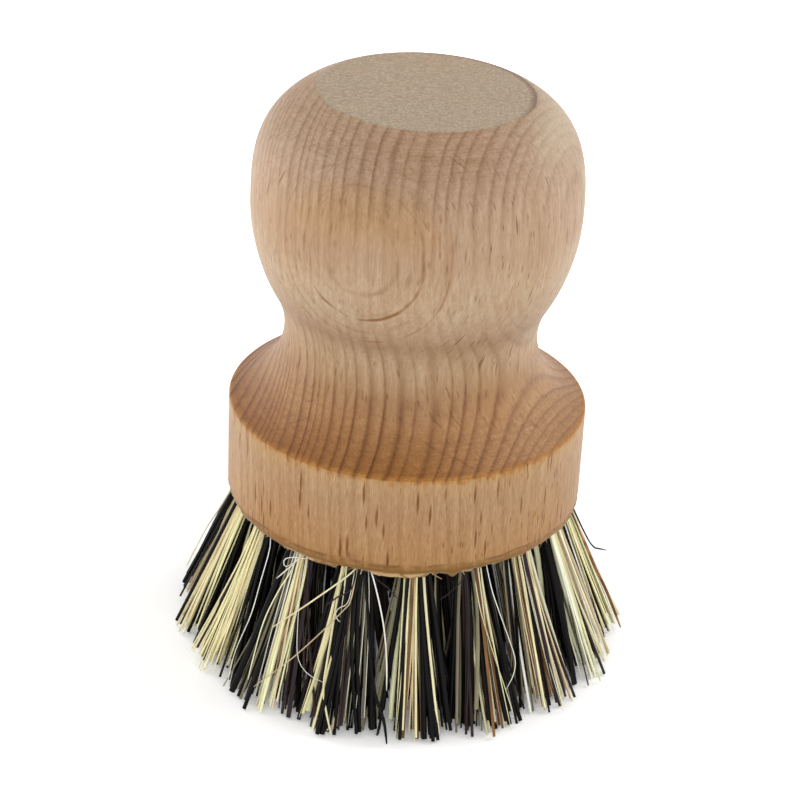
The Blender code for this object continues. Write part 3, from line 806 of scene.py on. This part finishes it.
def tubes(paths, broadside, half_widths, half_thicknesses, turns_round, twists):
    """Points, faces and grain places of closed tubes; paths is an array of fibres, stations and x, y, z."""
    count, stations = paths.shape[:2]
    ahead = np.gradient(paths, axis=1)
    ahead /= np.linalg.norm(ahead, axis=2, keepdims=True)
    side = broadside - ahead * (ahead @ broadside)[..., None]
    side /= np.linalg.norm(side, axis=2, keepdims=True)
    other = np.cross(ahead, side)
    steps = np.linalg.norm(np.diff(paths, axis=1), axis=2)
    along = np.concatenate([np.zeros((count, 1)), np.cumsum(steps, axis=1)], axis=1)
    turn = turns_round[:, None] + twists[:, None] * along
    wide = side * np.cos(turn)[..., None] + other * np.sin(turn)[..., None]
    thick = other * np.cos(turn)[..., None] - side * np.sin(turn)[..., None]
    angles = 2 * pi * np.arange(SECTION_SIDES) / SECTION_SIDES
    x = half_widths[..., None] * np.cos(angles)
    y = half_thicknesses[..., None] * np.sin(angles)
    points = paths[:, :, None] + wide[:, :, None] * x[..., None] + thick[:, :, None] * y[..., None]
    grain = np.stack([x, y, np.broadcast_to(along[..., None], x.shape)], axis=3)
    faces = []
    for fibre_number in range(count):
        first = fibre_number * stations * SECTION_SIDES
        for station in range(stations - 1):
            low = first + station * SECTION_SIDES
            for i in range(SECTION_SIDES):
                j = (i + 1) % SECTION_SIDES
                faces.append((low + i, low + j, low + SECTION_SIDES + j, low + SECTION_SIDES + i))
        last = first + (stations - 1) * SECTION_SIDES
        faces.append([first + i for i in reversed(range(SECTION_SIDES))])
        faces.append([last + i for i in range(SECTION_SIDES)])
    return points.reshape(-1, 3), faces, grain.reshape(-1, 3)


print("sides round a fibre:", SECTION_SIDES)

# %% One piece of fibres


def add_fibres(name, paths, kinds, widths, broadside, rng):
    """One piece of fibres, with each fibre's colour and grain stored on its points."""
    count, stations = paths.shape[:2]
    half_widths = np.array([FIBRE_KINDS[kind][1] for kind in kinds])[:, None] * widths
    half_thicknesses = np.array([FIBRE_KINDS[kind][2] for kind in kinds])[:, None] * widths
    turns_round = rng.normal(0, 0.5, count)
    points, faces, grain = tubes(
        paths, broadside, half_widths, half_thicknesses, turns_round, rng.normal(0, 0.02, count)
    )
    piece = add_piece(name, points, faces, fibre, smooth_below=70)
    tones = np.array([linear(FIBRE_KINDS[kind][0]) for kind in kinds])
    # No two fibres have quite the same lightness and tint.
    tones[:, :3] *= rng.uniform(0.84, 1.08, (count, 1)) * rng.uniform(0.97, 1.03, (count, 3))
    # Along a fibre the tone wanders a little, and rust-brown ones turn orange here and there.
    wander = np.cumsum(rng.normal(0, 0.05, (count, stations)), axis=1)
    tones = np.repeat(tones[:, None], stations, axis=1)
    tones[..., :3] *= np.exp(wander - wander.mean(axis=1, keepdims=True))[..., None]
    orange = (np.array(kinds) == "r")[:, None, None] * rng.random((count, stations, 1)) ** 3
    tones += orange * (np.array(linear("#C48F56")) - tones)
    tones = np.repeat(np.clip(tones, 0, 0.95).reshape(-1, 4), SECTION_SIDES, axis=0)
    piece.data.attributes.new("tone", "FLOAT_COLOR", "POINT").data.foreach_set("color", tones.ravel())
    grain = grain + np.repeat(rng.random((count, 3)) * 50, stations * SECTION_SIDES, axis=0)
    piece.data.attributes.new("grain", "FLOAT_VECTOR", "POINT").data.foreach_set("vector", grain.ravel())
    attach(piece, "root")
    return piece


print("stored on each fibre's points: tone and grain")

# %% The path of each folded fibre
ROOT_RADIUS, CROWN_DEPTH = 2.5, 7.0  # of the bunch in its hole, and how deep in it the staple's crown lies
MOUTH_SQUEEZE = 0.48  # the staple holds the bunch so much narrower than the mouth
OUTSIDE_SHARES = (0.0, 0.1, 0.22, 0.36, 0.52, 0.68, 0.84, 1.0)  # stations from the mouth to the tip
TIP_LIMIT = 39.9  # no tip lies further than this from the brush's middle


def half_path(starts, tips, lean, side, bows, rng):
    """From the fold's top down one side of the hole and out to the tip, in the mouth's frame."""
    count = len(starts)
    tilt = np.array(Matrix.Rotation(-lean, 3, "X"))
    x, y = starts.T
    squeezed = x * MOUTH_SQUEEZE
    spread = 0.65 + np.abs(y) / ROOT_RADIUS * 1.6
    rise = 0.6 + np.abs(y) / ROOT_RADIUS * 0.8
    zero = np.zeros(count)
    inside = [
        (squeezed, zero, CROWN_DEPTH + rise),
        (squeezed, side * spread * 0.72, CROWN_DEPTH + rise * 0.7),
        (squeezed, side * spread, CROWN_DEPTH + zero),
        (x * 0.85, side * (spread + np.abs(y)) / 2, CROWN_DEPTH * 0.55 + zero),
        (x, y, 0.8 + zero),
    ]
    inside = np.stack([np.stack(place, 1) for place in inside], 1) @ tilt.T
    start = np.stack([x, y, 0.3 + zero], 1) @ tilt.T
    down = tilt @ np.array([0, 0, -1.0])
    length = np.linalg.norm(tips - start, axis=1, keepdims=True)
    control = start + down * length * rng.uniform(0.10, 0.30, (count, 1))
    outside = []
    for share in OUTSIDE_SHARES:
        place = (1 - share) ** 2 * start + 2 * share * (1 - share) * control + share**2 * tips
        place[:, :2] += bows * sin(pi * share)
        outside.append(place)
    return np.concatenate([inside, np.stack(outside, 1)], axis=1)


print("stations along half a fibre:", 5 + len(OUTSIDE_SHARES))

# %% Which fibres lie where in a tuft
# The letters of each tuft's bands from left to right, as the front shows them
SEEN_BANDS = {
    13: "kktcccic",
    14: "ictccckcckkk",
    15: "ccctccckccckk",
    16: "okhocctcpppk",
    17: "pcckkctpwkhk",
    1: "okcckcrtckkck",
    2: "kkopkockrwck",
    3: "koitcrckpiiti",
    4: "kkkwcwkicpcti",
    5: "wiwkrcipicwwi",
    6: "iciiwiccti",
    7: "icciwiicti",
}
# Behind a tuft's front, some fibres are palm whatever their band: this share of them, in the tufts that are
# seen
DARK_SHARES = dict(zip(SEEN_BANDS, (0.22, 0.2, 0.24, 0.5, 0.6, 0.5, 0.45, 0.15, 0.12, 0.12, 0.1, 0.15)))
# The inner rings' larger dark share is partly real palm fibre and partly painted shade between the tufts.
OUTER_DARK, INNER_DARK_WITH_SHADE = 0.3, 0.5  # the same share in the other outer tufts, and in the two inner rings
DRAWN_BANDS = 9
# The real mix is as pale inside as outside: the rarer pale kinds in the inner rings are painted shade between
# the tufts.
INNER_PALE_FOR_SHADE = 0.22  # pale kinds are that much rarer in the inner rings, where the photograph shows only dark


def bands_of(ring, number, rng):
    """The letters of a tuft's bands: those that were seen, or else nine drawn ones."""
    # Pale kinds are rarer in the inner rings: painted shade between the tufts.
    shares = [
        share * (INNER_PALE_FOR_SHADE if ring and letter in PALE else 1)
        for letter, (_, _, _, share) in FIBRE_KINDS.items()
    ]
    chances = np.array(shares) / sum(shares)
    drawn = "".join(rng.choice(list(FIBRE_KINDS), p=chances) for _ in range(DRAWN_BANDS))
    return SEEN_BANDS.get(number, drawn) if ring == 0 else drawn


print("tufts with bands as seen:", len(SEEN_BANDS))

# %% Where a tuft's fibres start, and which kind each one is
FOLDED_FIBRES = 60
FRONT = 0.7  # fibres that start further forwards than this, in mm, keep their band's kind
# Of these, the olive o is pale agave with painted shade.
DARK_KINDS = "kkkpo"


def fibre_starts(bands, dark_share, turn, rng):
    """Each folded fibre's place in the mouth's outer and its inner half, its band and its kind."""
    spiral = np.arange(2 * FOLDED_FIBRES)
    away = np.sqrt((spiral + 0.5) / len(spiral)) * (ROOT_RADIUS - 0.25)
    angle = spiral * pi * (3 - sqrt(5)) + rng.random() * 2 * pi
    places = np.stack([away * np.cos(angle), away * np.sin(angle)], 1)
    outer_places = places[places[:, 1] < 0]
    count = len(outer_places)
    inner_places = outer_places * (1, -1) + rng.normal(0, 0.15, (count, 2))
    rightwards = outer_places @ (cos(turn), -sin(turn))
    forwards = outer_places @ (-sin(turn), -cos(turn))
    share = (rightwards - rightwards.min()) / np.ptp(rightwards)
    band = (share * len(bands)).astype(int).clip(0, len(bands) - 1)
    kinds = [bands[i] for i in band]
    is_dark, dark_kinds = rng.random(count) < dark_share, rng.choice(list(DARK_KINDS), count)
    for i in range(count):
        if forwards[i] < FRONT and is_dark[i]:
            kinds[i] = dark_kinds[i]
    return outer_places, inner_places, band, kinds


print("fibres folded in each tuft:", FOLDED_FIBRES)

# %% A whole tuft's paths, kinds and widths
RAGGED = 2.6  # how far in mm above the floor a fibre's tip may end
OUT_SHARES = (0.84, 1.10, 1.00)  # how far the tips of each ring's tufts spread outwards
IN_SHARES = (1.25, 1.10, 1.00)  # and inwards
PALE_SIDE, DARK_SIDE = 0.98, 1.22  # how far pale and dark tips spread to the sides
BAND_SHIFT, BAND_BOW, FIBRE_BOW = 0.55, 0.25, 0.28  # a band's and a fibre's own way, in mm
LOOSE_SHARE, LOOSE, NEAT = 0.12, 1.8, 0.5  # some fibres' tips stray further than the others'
BROKEN_SHARE, BROKEN = 0.06, (1, 5)  # a few fibres broke off shorter
WIDTH_SPREAD = 0.34
POINTED_SHARE, POINTED = 0.3, (0.22, 0.62, 0.88)  # some pale fibres keep their leaf's narrowing tip


def tuft_fibres(ring, bands, dark_share, turn, half_out, half_side, rng):
    """The folded fibres of one tuft in its mouth's frame, with each one's kind and widths."""
    lean = LEANS[ring]
    outer_places, inner_places, band, kinds = fibre_starts(bands, dark_share, turn, rng)
    count = len(kinds)
    pale = np.array([kind in PALE for kind in kinds])
    side_share = np.where(pale, PALE_SIDE, DARK_SIDE)
    band_shift = rng.normal(0, BAND_SHIFT, (len(bands), 2))[band]
    band_bow = rng.normal(0, BAND_BOW, (len(bands), 2))[band]
    halves = []
    for side, starts in ((-1, outer_places), (1, inner_places)):
        unit = starts / ROOT_RADIUS
        out_share = np.where(unit[:, 1] < 0, OUT_SHARES[ring], IN_SHARES[ring])
        stray = rng.normal(0, 1, (count, 2)) * np.where(rng.random((count, 1)) < LOOSE_SHARE, LOOSE, NEAT)
        aside = half_side * side_share * unit[:, 0] + band_shift[:, 0] + stray[:, 0]
        outwards = half_out * out_share * unit[:, 1] - FOOT_HEIGHT * tan(lean)
        outwards += band_shift[:, 1] * 0.4 + stray[:, 1] * 0.7
        tips = np.stack([aside, outwards, np.full(count, -float(FOOT_HEIGHT))], 1)
        reach = np.hypot(tips[:, 0], tips[:, 1] - ring_radii[ring])
        tips[:, :2] = (tips[:, :2] - (0, ring_radii[ring])) * np.minimum(1, TIP_LIMIT / reach)[:, None]
        tips[:, 1] += ring_radii[ring]
        short = RAGGED * rng.random(count) ** 1.5
        short += (rng.random(count) < BROKEN_SHARE) * rng.uniform(*BROKEN, count)
        base = np.stack([starts[:, 0], starts[:, 1], np.zeros(count)], 1)
        tips = base + (tips - base) * (1 - short / FOOT_HEIGHT)[:, None]
        bows = band_bow + rng.normal(0, FIBRE_BOW, (count, 2))
        halves.append(half_path(starts, tips, lean, side, bows, rng))
    paths = np.concatenate([halves[0][:, ::-1], halves[1][:, 1:]], axis=1)
    widths = np.exp(rng.normal(0, WIDTH_SPREAD, (count, 1))) * np.ones(paths.shape[1])
    pointed = pale & (rng.random(count) < POINTED_SHARE)
    widths[pointed, :3] *= POINTED
    return paths, kinds, widths


print("tips end up to", RAGGED, "mm above the floor")

# %% Fill every hole with its tuft
FLOOR_GAP = 0.3  # no fibre's middle comes nearer to the floor than this, in mm
rng = np.random.default_rng(5)
tip_radii = [radius + FOOT_HEIGHT * tan(lean) for radius, lean in zip(ring_radii, LEANS)] + [0]
fibre_count = 0
for ring, ring_name in enumerate(RING_NAMES):
    half_out = (tip_radii[ring] - tip_radii[ring + 1]) / 2
    half_side = tip_radii[ring] * sin(pi / TUFT_COUNTS[ring])
    for number, mouth in enumerate(mouths(ring), 1):
        bands = bands_of(ring, number, rng)
        turn = FIRST_TURNS[ring] + 2 * pi * (number - 1) / TUFT_COUNTS[ring]
        # The inner rings' larger dark share is partly painted shade.
        dark_share = INNER_DARK_WITH_SHADE if ring else DARK_SHARES.get(number, OUTER_DARK)
        paths, kinds, widths = tuft_fibres(ring, bands, dark_share, turn, half_out, half_side, rng)
        paths = moved(mouth, paths)
        paths[..., 2] = np.maximum(paths[..., 2], FLOOR_GAP)
        broadside = np.array(mouth.to_3x3() @ Vector((1, 0, 0)))
        tuft = add_fibres(f"fibres_{ring_name}_{number:02d}", paths, kinds, widths, broadside, rng)
        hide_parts(f"tuft_{ring_name}_{number:02d}")
        fibre_count += len(kinds)
print(fibre_count, "folded fibres in", sum(TUFT_COUNTS), "tufts")

# %% [markdown]
# ## Stray fibres
# A machine-filled brush always has a few fibres that sprang out of their tuft: long ones that lie across the
# others, thin curls at the mouths, and a kinked end or two. Each is drawn by a few points on the skirt's
# outside, given as a direction and a height, and starts in its own tuft's hole.

# %% The strays
STRAYS = (
    # tuft, fibre letter, width against that kind's own, and points as degrees, height in mm, mm proud
    (17, "c", 0.62, ((-14.6, 26.0, 0.2), (-25.5, 20.4, 0.7), (-36.2, 14.2, 0.8))),
    (17, "t", 0.7, ((-14.1, 22.0, 0.2), (-15.7, 20.0, 0.5), (-27.2, 11.4, 0.6), (-37.3, 4.0, 0.3))),
    (15, "h", 0.8,
     ((-47.3, 25.4, 0.4), (-45.9, 19.5, 0.5), (-45.4, 13.8, 0.4), (-46.6, 7.0, 0.3), (-45.3, 0.9, 0.2))),
    (16, "c", 0.7,
     ((-35.9, 23.3, 0.4), (-38.2, 19.6, 0.5), (-40.2, 14.0, 0.4), (-40.0, 7.6, 0.3), (-39.6, 4.6, 0.3))),
    (16, "h", 0.9,
     ((-31.0, 26.1, 0.5), (-35.5, 25.6, 0.8), (-39.1, 24.6, 0.8), (-38.0, 23.6, 0.8), (-35.2, 24.8, 0.6))),
    (16, "h", 1.1, ((-34.6, 25.3, 0.6), (-37.4, 23.1, 0.9), (-40.0, 21.3, 0.7))),
    (17, "p", 0.5, ((-14.4, 23.4, 0.2), (-18.5, 21.6, 0.5), (-21.6, 19.9, 0.3))),
    (17, "h", 0.6,
     ((-14.8, 21.5, 0.3), (-17.3, 20.2, 0.7), (-18.0, 19.3, 0.7), (-17.3, 18.4, 0.6), (-15.8, 17.8, 0.2))),
    (16, "h", 0.7,
     ((-31.0, 21.0, 0.2), (-28.6, 15.0, 0.5), (-26.5, 11.0, 0.5), (-23.0, 9.1, 0.4), (-18.0, 8.2, 0.1))),
    (17, "c", 0.8, ((-18.4, 14.0, 0.1), (-18.0, 8.0, 0.5), (-16.7, 5.0, 0.5), (-14.1, 0.6, 0.3))),
    (17, "h", 1.2, ((-8.2, 25.6, 0.3), (-3.8, 19.1, 0.5), (-2.1, 13.6, 0.3), (-1.5, 8.5, 0.1))),
    (17, "k", 1.1, ((-7.6, 17.0, 0.0), (-4.9, 9.0, 0.4), (-1.8, 4.2, 0.5), (-0.7, 0.5, 0.3))),
    (17, "p", 0.4, ((-7.5, 25.6, 0.3), (-2.8, 24.1, 0.5), (0.2, 22.5, 0.2))),
    (2, "p", 0.4, ((21.5, 25.2, 0.2), (16.8, 23.5, 0.5), (13.2, 22.3, 0.3))),
    (2, "c", 0.6,
     ((25.6, 22.8, 0.2), (26.0, 19.6, 0.4), (28.0, 13.5, 0.5), (30.0, 8.1, 0.4), (31.7, 2.9, 0.2))),
    (2, "h", 0.9,
     ((31.0, 22.0, 0.2), (33.5, 14.9, 0.6), (34.4, 11.4, 0.7), (33.3, 9.0, 0.5), (30.5, 6.8, 0.2))),
    (5, "k", 0.6, ((94.0, 17.5, 0.3), (97.0, 13.6, 0.8), (99.0, 12.4, 1.8), (99.6, 11.8, 2.8))),
    (5, "r", 0.9, ((88.0, 14.0, 0.2), (88.5, 8.5, 0.6), (87.5, 4.5, 0.8), (86.8, 1.2, 0.9))),
    (13, "i", 0.7, ((-97.0, 18.0, 0.3), (-98.0, 13.5, 0.8), (-99.2, 7.0, 0.9), (-99.6, 3.8, 0.8))),
)
print(len(STRAYS), "strays")

# %% From a stray's few points to a smooth path
SKIRT_TOP, SKIRT_FLARE = 27.9, 11.3  # the skirt's radius at the disc's foot, and how much it widens
STRAY_STATIONS = 26


def skirt_point(degrees, height_up, proud):
    """A place so far proud of the skirt of fibres; degrees count from the front towards +X."""
    radius = SKIRT_TOP + SKIRT_FLARE * (FOOT_HEIGHT - height_up) / FOOT_HEIGHT + proud
    turn = radians(degrees)
    return np.array([radius * sin(turn), -radius * cos(turn), height_up])


def smooth_path(points, stations):
    """A smooth curve through the points, as stations spaced evenly along it."""
    points = np.array([2 * points[0] - points[1], *points, 2 * points[-1] - points[-2]])
    dense = []
    for a, b, c, d in zip(points[:-3], points[1:-2], points[2:-1], points[3:]):
        for share in np.linspace(0, 1, 13)[:-1]:
            dense.append(
                b
                + (c - a) * share / 2
                + (2 * a - 5 * b + 4 * c - d) * share**2 / 2
                + (3 * b - 3 * c + d - a) * share**3 / 2
            )
    dense = np.array([*dense, points[-2]])
    along = np.concatenate([[0], np.cumsum(np.linalg.norm(np.diff(dense, axis=0), axis=1))])
    wanted = np.linspace(0, along[-1], stations)
    return np.stack([np.interp(wanted, along, dense[:, axis]) for axis in range(3)], 1)


print("stations along a stray:", STRAY_STATIONS)

# %% Make the strays
# Each starts 5 mm deep in its tuft's hole and leaves the mouth on its outer side.
MOUTH_REACH = 1.8  # how far to the side a stray may leave the mouth
STRAY_TIP = (0.95, 0.8, 0.45)
outer_mouths = [np.array(mouth @ Matrix.Rotation(-LEANS[0], 4, "X")) for mouth in mouths(0)]
stray_paths, stray_kinds, stray_widths = [], [], []
for number, letter, width, places in STRAYS:
    hole = outer_mouths[number - 1]
    points = [skirt_point(*place) for place in places]
    towards = np.clip((np.linalg.inv(hole) @ np.append(points[0], 1))[0], -MOUTH_REACH, MOUTH_REACH)
    root = [moved(hole, np.array(place)) for place in ((towards * 0.6, -0.8, 5.0), (towards, -1.9, 0.2))]
    stray_paths.append(smooth_path(root + points, STRAY_STATIONS))
    stray_kinds.append(letter)
    stray_widths.append(width * np.append(np.ones(STRAY_STATIONS - len(STRAY_TIP)), STRAY_TIP))
stray_paths, stray_widths = np.array(stray_paths), np.array(stray_widths)
add_fibres("stray_fibres", stray_paths, stray_kinds, stray_widths, np.array([1.0, 0, 0]), rng)
print("strays made:", len(stray_paths))

# %% [markdown]
# ## Torn wood fibres at the foot
# Drilling and turning across the end of the grain tears the beech's own fibres loose, and some still hang
# from the lower edge. They are far finer than the bristles, so they are a piece of their own: short, thin
# tubes whose roots sit in the wood.

# %% A fuzz of wood fibres along the foot's edge
rng = np.random.default_rng(23)
FUZZ_COUNT, FUZZ_STATIONS = 420, 6
FUZZ_LENGTHS = (0.4, 1.7)
FUZZ_IN, FUZZ_BAND, FUZZ_ROOT = 0.9, 1.2, 0.35  # the roots' depth from the side, its spread, and height
each = (FUZZ_COUNT, 1)
around = rng.random(each) * 2 * pi
fuzz_length = rng.uniform(*FUZZ_LENGTHS, each)
fuzz_radius = DISC_RADIUS - FUZZ_IN - rng.random(each) * FUZZ_BAND
shares = np.linspace(0, 1, FUZZ_STATIONS)[None, :]
swing = rng.normal(0, 0.7, each)
fall = rng.uniform(-0.1, 1.0, each)
fuzz_turn = around + swing * fuzz_length * shares**1.5 / DISC_RADIUS
fuzz_out = fuzz_radius + fuzz_length * shares * rng.uniform(0.1, 0.6, each)
fuzz_level = FOOT_HEIGHT + FUZZ_ROOT - fuzz_length * fall * shares**1.3
fuzz_paths = np.stack([fuzz_out * np.sin(fuzz_turn), -fuzz_out * np.cos(fuzz_turn), fuzz_level], 2)
FIBRE_KINDS["b"] = ("#D0A878", 0.075, 0.05, 0.0)  # beech
fuzz_widths = np.exp(rng.normal(0, 0.3, each)) * (1 - 0.5 * shares)
add_fibres("foot_fuzz", fuzz_paths, ["b"] * FUZZ_COUNT, fuzz_widths, np.array([1.0, 0, 0]), rng)
print(FUZZ_COUNT, "torn wood fibres")

# %% [markdown]
# ## Steel wire
# Each staple is bright steel wire, drawn through a die, so its surface is smooth with very fine lines along
# it. It hides in its hole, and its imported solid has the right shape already, so it only gets a finish.

# %% The staples' finish
wire, steel, steel_shader = new_finish("drawn_steel_wire")
wire_place = node(steel, "TexCoord").outputs["Object"]
line_scale = (8 / MM, 8 / MM, 0.5 / MM)  # lines an eighth of a millimetre apart, drawn out over 2 mm
draw_place = node(steel, "VectorMath", {0: wire_place, 1: line_scale}, operation="MULTIPLY")
draw_lines = node(steel, "TexNoise", {"Vector": draw_place, "Scale": 1, "Detail": 2})
steel_shader.inputs["Base Color"].default_value = linear("#B9B9BA")
steel_shader.inputs["Metallic"].default_value = 1.0
draw_rough = node(steel, "MapRange", {0: draw_lines, 3: 0.22, 4: 0.42})
steel.links.new(draw_rough.outputs[0], steel_shader.inputs["Roughness"])
for name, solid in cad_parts.items():
    if name.startswith("staple"):
        solid.data.materials.clear()
        solid.data.materials.append(wire)
print("staples finished:", sum(name.startswith("staple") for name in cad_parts))

# %% [markdown]
# ## Floor, light and camera
# The photograph is a studio shot on white: light comes softly from all sides, a little more from the left.
# The floor is pale, but rays from the camera, off a gloss or through glass see it white, so the background is
# white and the shadow under the tips stays. The lamps are at a level at which a colour renders about as it is
# written.

# %% Which rays see the background white


def seen_as_white(tree):
    """A socket that is 1 for rays from the camera, off a gloss or through glass, and else 0."""
    rays = node(tree, "LightPath")
    seen = rays.outputs["Is Camera Ray"]
    for kind in ("Is Glossy Ray", "Is Transmission Ray"):
        seen = node(tree, "Math", {0: seen, 1: rays.outputs[kind]}, operation="MAXIMUM").outputs[0]
    return seen


print("white to the camera, off a gloss and through glass")

# %% A floor that stays white behind the brush
floor_finish, floor_tree, floor_shader = new_finish("studio_floor")
seen_white = seen_as_white(floor_tree)
floor_tones = {0: seen_white, 6: linear("#DCDCDC"), 7: linear("#FFFFFF")}
floor_colour = node(floor_tree, "Mix", floor_tones, data_type="RGBA")
floor_tree.links.new(floor_colour.outputs[2], floor_shader.inputs["Base Color"])
# To those rays the floor glows, weakly where the shadow lies and at full white from 220 mm outwards.
floor_place = node(floor_tree, "TexCoord").outputs["Object"]
from_brush = node(floor_tree, "VectorMath", {0: floor_place}, operation="LENGTH").outputs["Value"]
glow = node(floor_tree, "MapRange", {0: from_brush, 1: 80 * MM, 2: 220 * MM, 3: 0.144, 4: 1.0})
glow = node(floor_tree, "Math", {0: glow, 1: seen_white}, operation="MULTIPLY")
floor_tree.links.new(glow.outputs[0], floor_shader.inputs["Emission Strength"])
floor_shader.inputs["Emission Color"].default_value = linear("#FFFFFF")
floor_shader.inputs["Roughness"].default_value = 0.9
floor_shader.inputs["Specular IOR Level"].default_value = 0.0
# From below the floor is clear, so that the underside can be looked at.
from_below = node(floor_tree, "NewGeometry").outputs["Backfacing"]
clear = node(floor_tree, "BsdfTransparent")
floor_faces = node(floor_tree, "MixShader", {0: from_below, 1: floor_shader.outputs[0], 2: clear})
floor_tree.links.new(floor_faces.outputs[0], floor_tree.nodes["Material Output"].inputs["Surface"])
HALF_FLOOR = 3000
corners = [(x * HALF_FLOOR, y * HALF_FLOOR, 0) for x, y in ((-1, -1), (1, -1), (1, 1), (-1, 1))]
floor = add_piece("floor", corners, [(0, 1, 2, 3)], floor_finish)
print("floor", 2 * HALF_FLOOR * MM, "m wide")

# %% Soft light from all round
world = bpy.data.worlds.new("studio")
bpy.context.scene.world = world
world.use_nodes = True
sky = world.node_tree
SKY_LIGHT = 0.62  # the world's strength as a light; seen directly it is white, at 1
sky_strength = node(sky, "Mix", {0: seen_as_white(sky), 2: SKY_LIGHT, 3: 1.0}, data_type="FLOAT")
sky.nodes["Background"].inputs["Color"].default_value = linear("#FFFFFF")
sky.links.new(sky_strength.outputs[0], sky.nodes["Background"].inputs["Strength"])


def add_softbox(name, place, target, size, power):
    """A rectangular lamp in watts, placed and aimed in millimetres."""
    light = bpy.data.lights.new(name, "AREA")
    light.shape, light.size, light.size_y = "RECTANGLE", size[0] * MM, size[1] * MM
    light.energy = power
    lamp = bpy.data.objects.new(name, light)
    lamp.location = Vector(place) * MM
    lamp.rotation_euler = (Vector(target) - Vector(place)).to_track_quat("-Z", "Y").to_euler()
    bpy.context.scene.collection.objects.link(lamp)


add_softbox("softbox_left", (-420, 130, 190), (0, 0, 55), (420, 420), 1.28)
add_softbox("softbox_right", (380, 120, 330), (0, 0, 60), (360, 360), 1.12)
add_softbox("softbox_front", (0, -520, 260), (0, 0, 45), (420, 420), 1.1)
bpy.context.scene.view_settings.view_transform = "Standard"
print("lamps:", len(bpy.data.lights))

# %% The camera, at the photograph's angle
EYE = Vector((0, -358.112, 232.028))
RIGHT = Vector((0.99871, 0.02632, 0.04349))
UP = Vector((-0.05075, 0.46608, 0.88329))
BACK = Vector((0.00298, -0.88435, 0.46681))
camera_data = bpy.data.cameras.new("camera")
camera_data.sensor_width = 36
camera_data.lens = 108
camera = bpy.data.objects.new("camera", camera_data)
turned = Matrix((RIGHT, UP, BACK)).transposed().to_4x4()
camera.matrix_world = Matrix.Translation(EYE * MM) @ turned
bpy.context.scene.collection.objects.link(camera)
bpy.context.scene.camera = camera
print("camera", [round(value) for value in EYE], "mm from the middle of the tips")
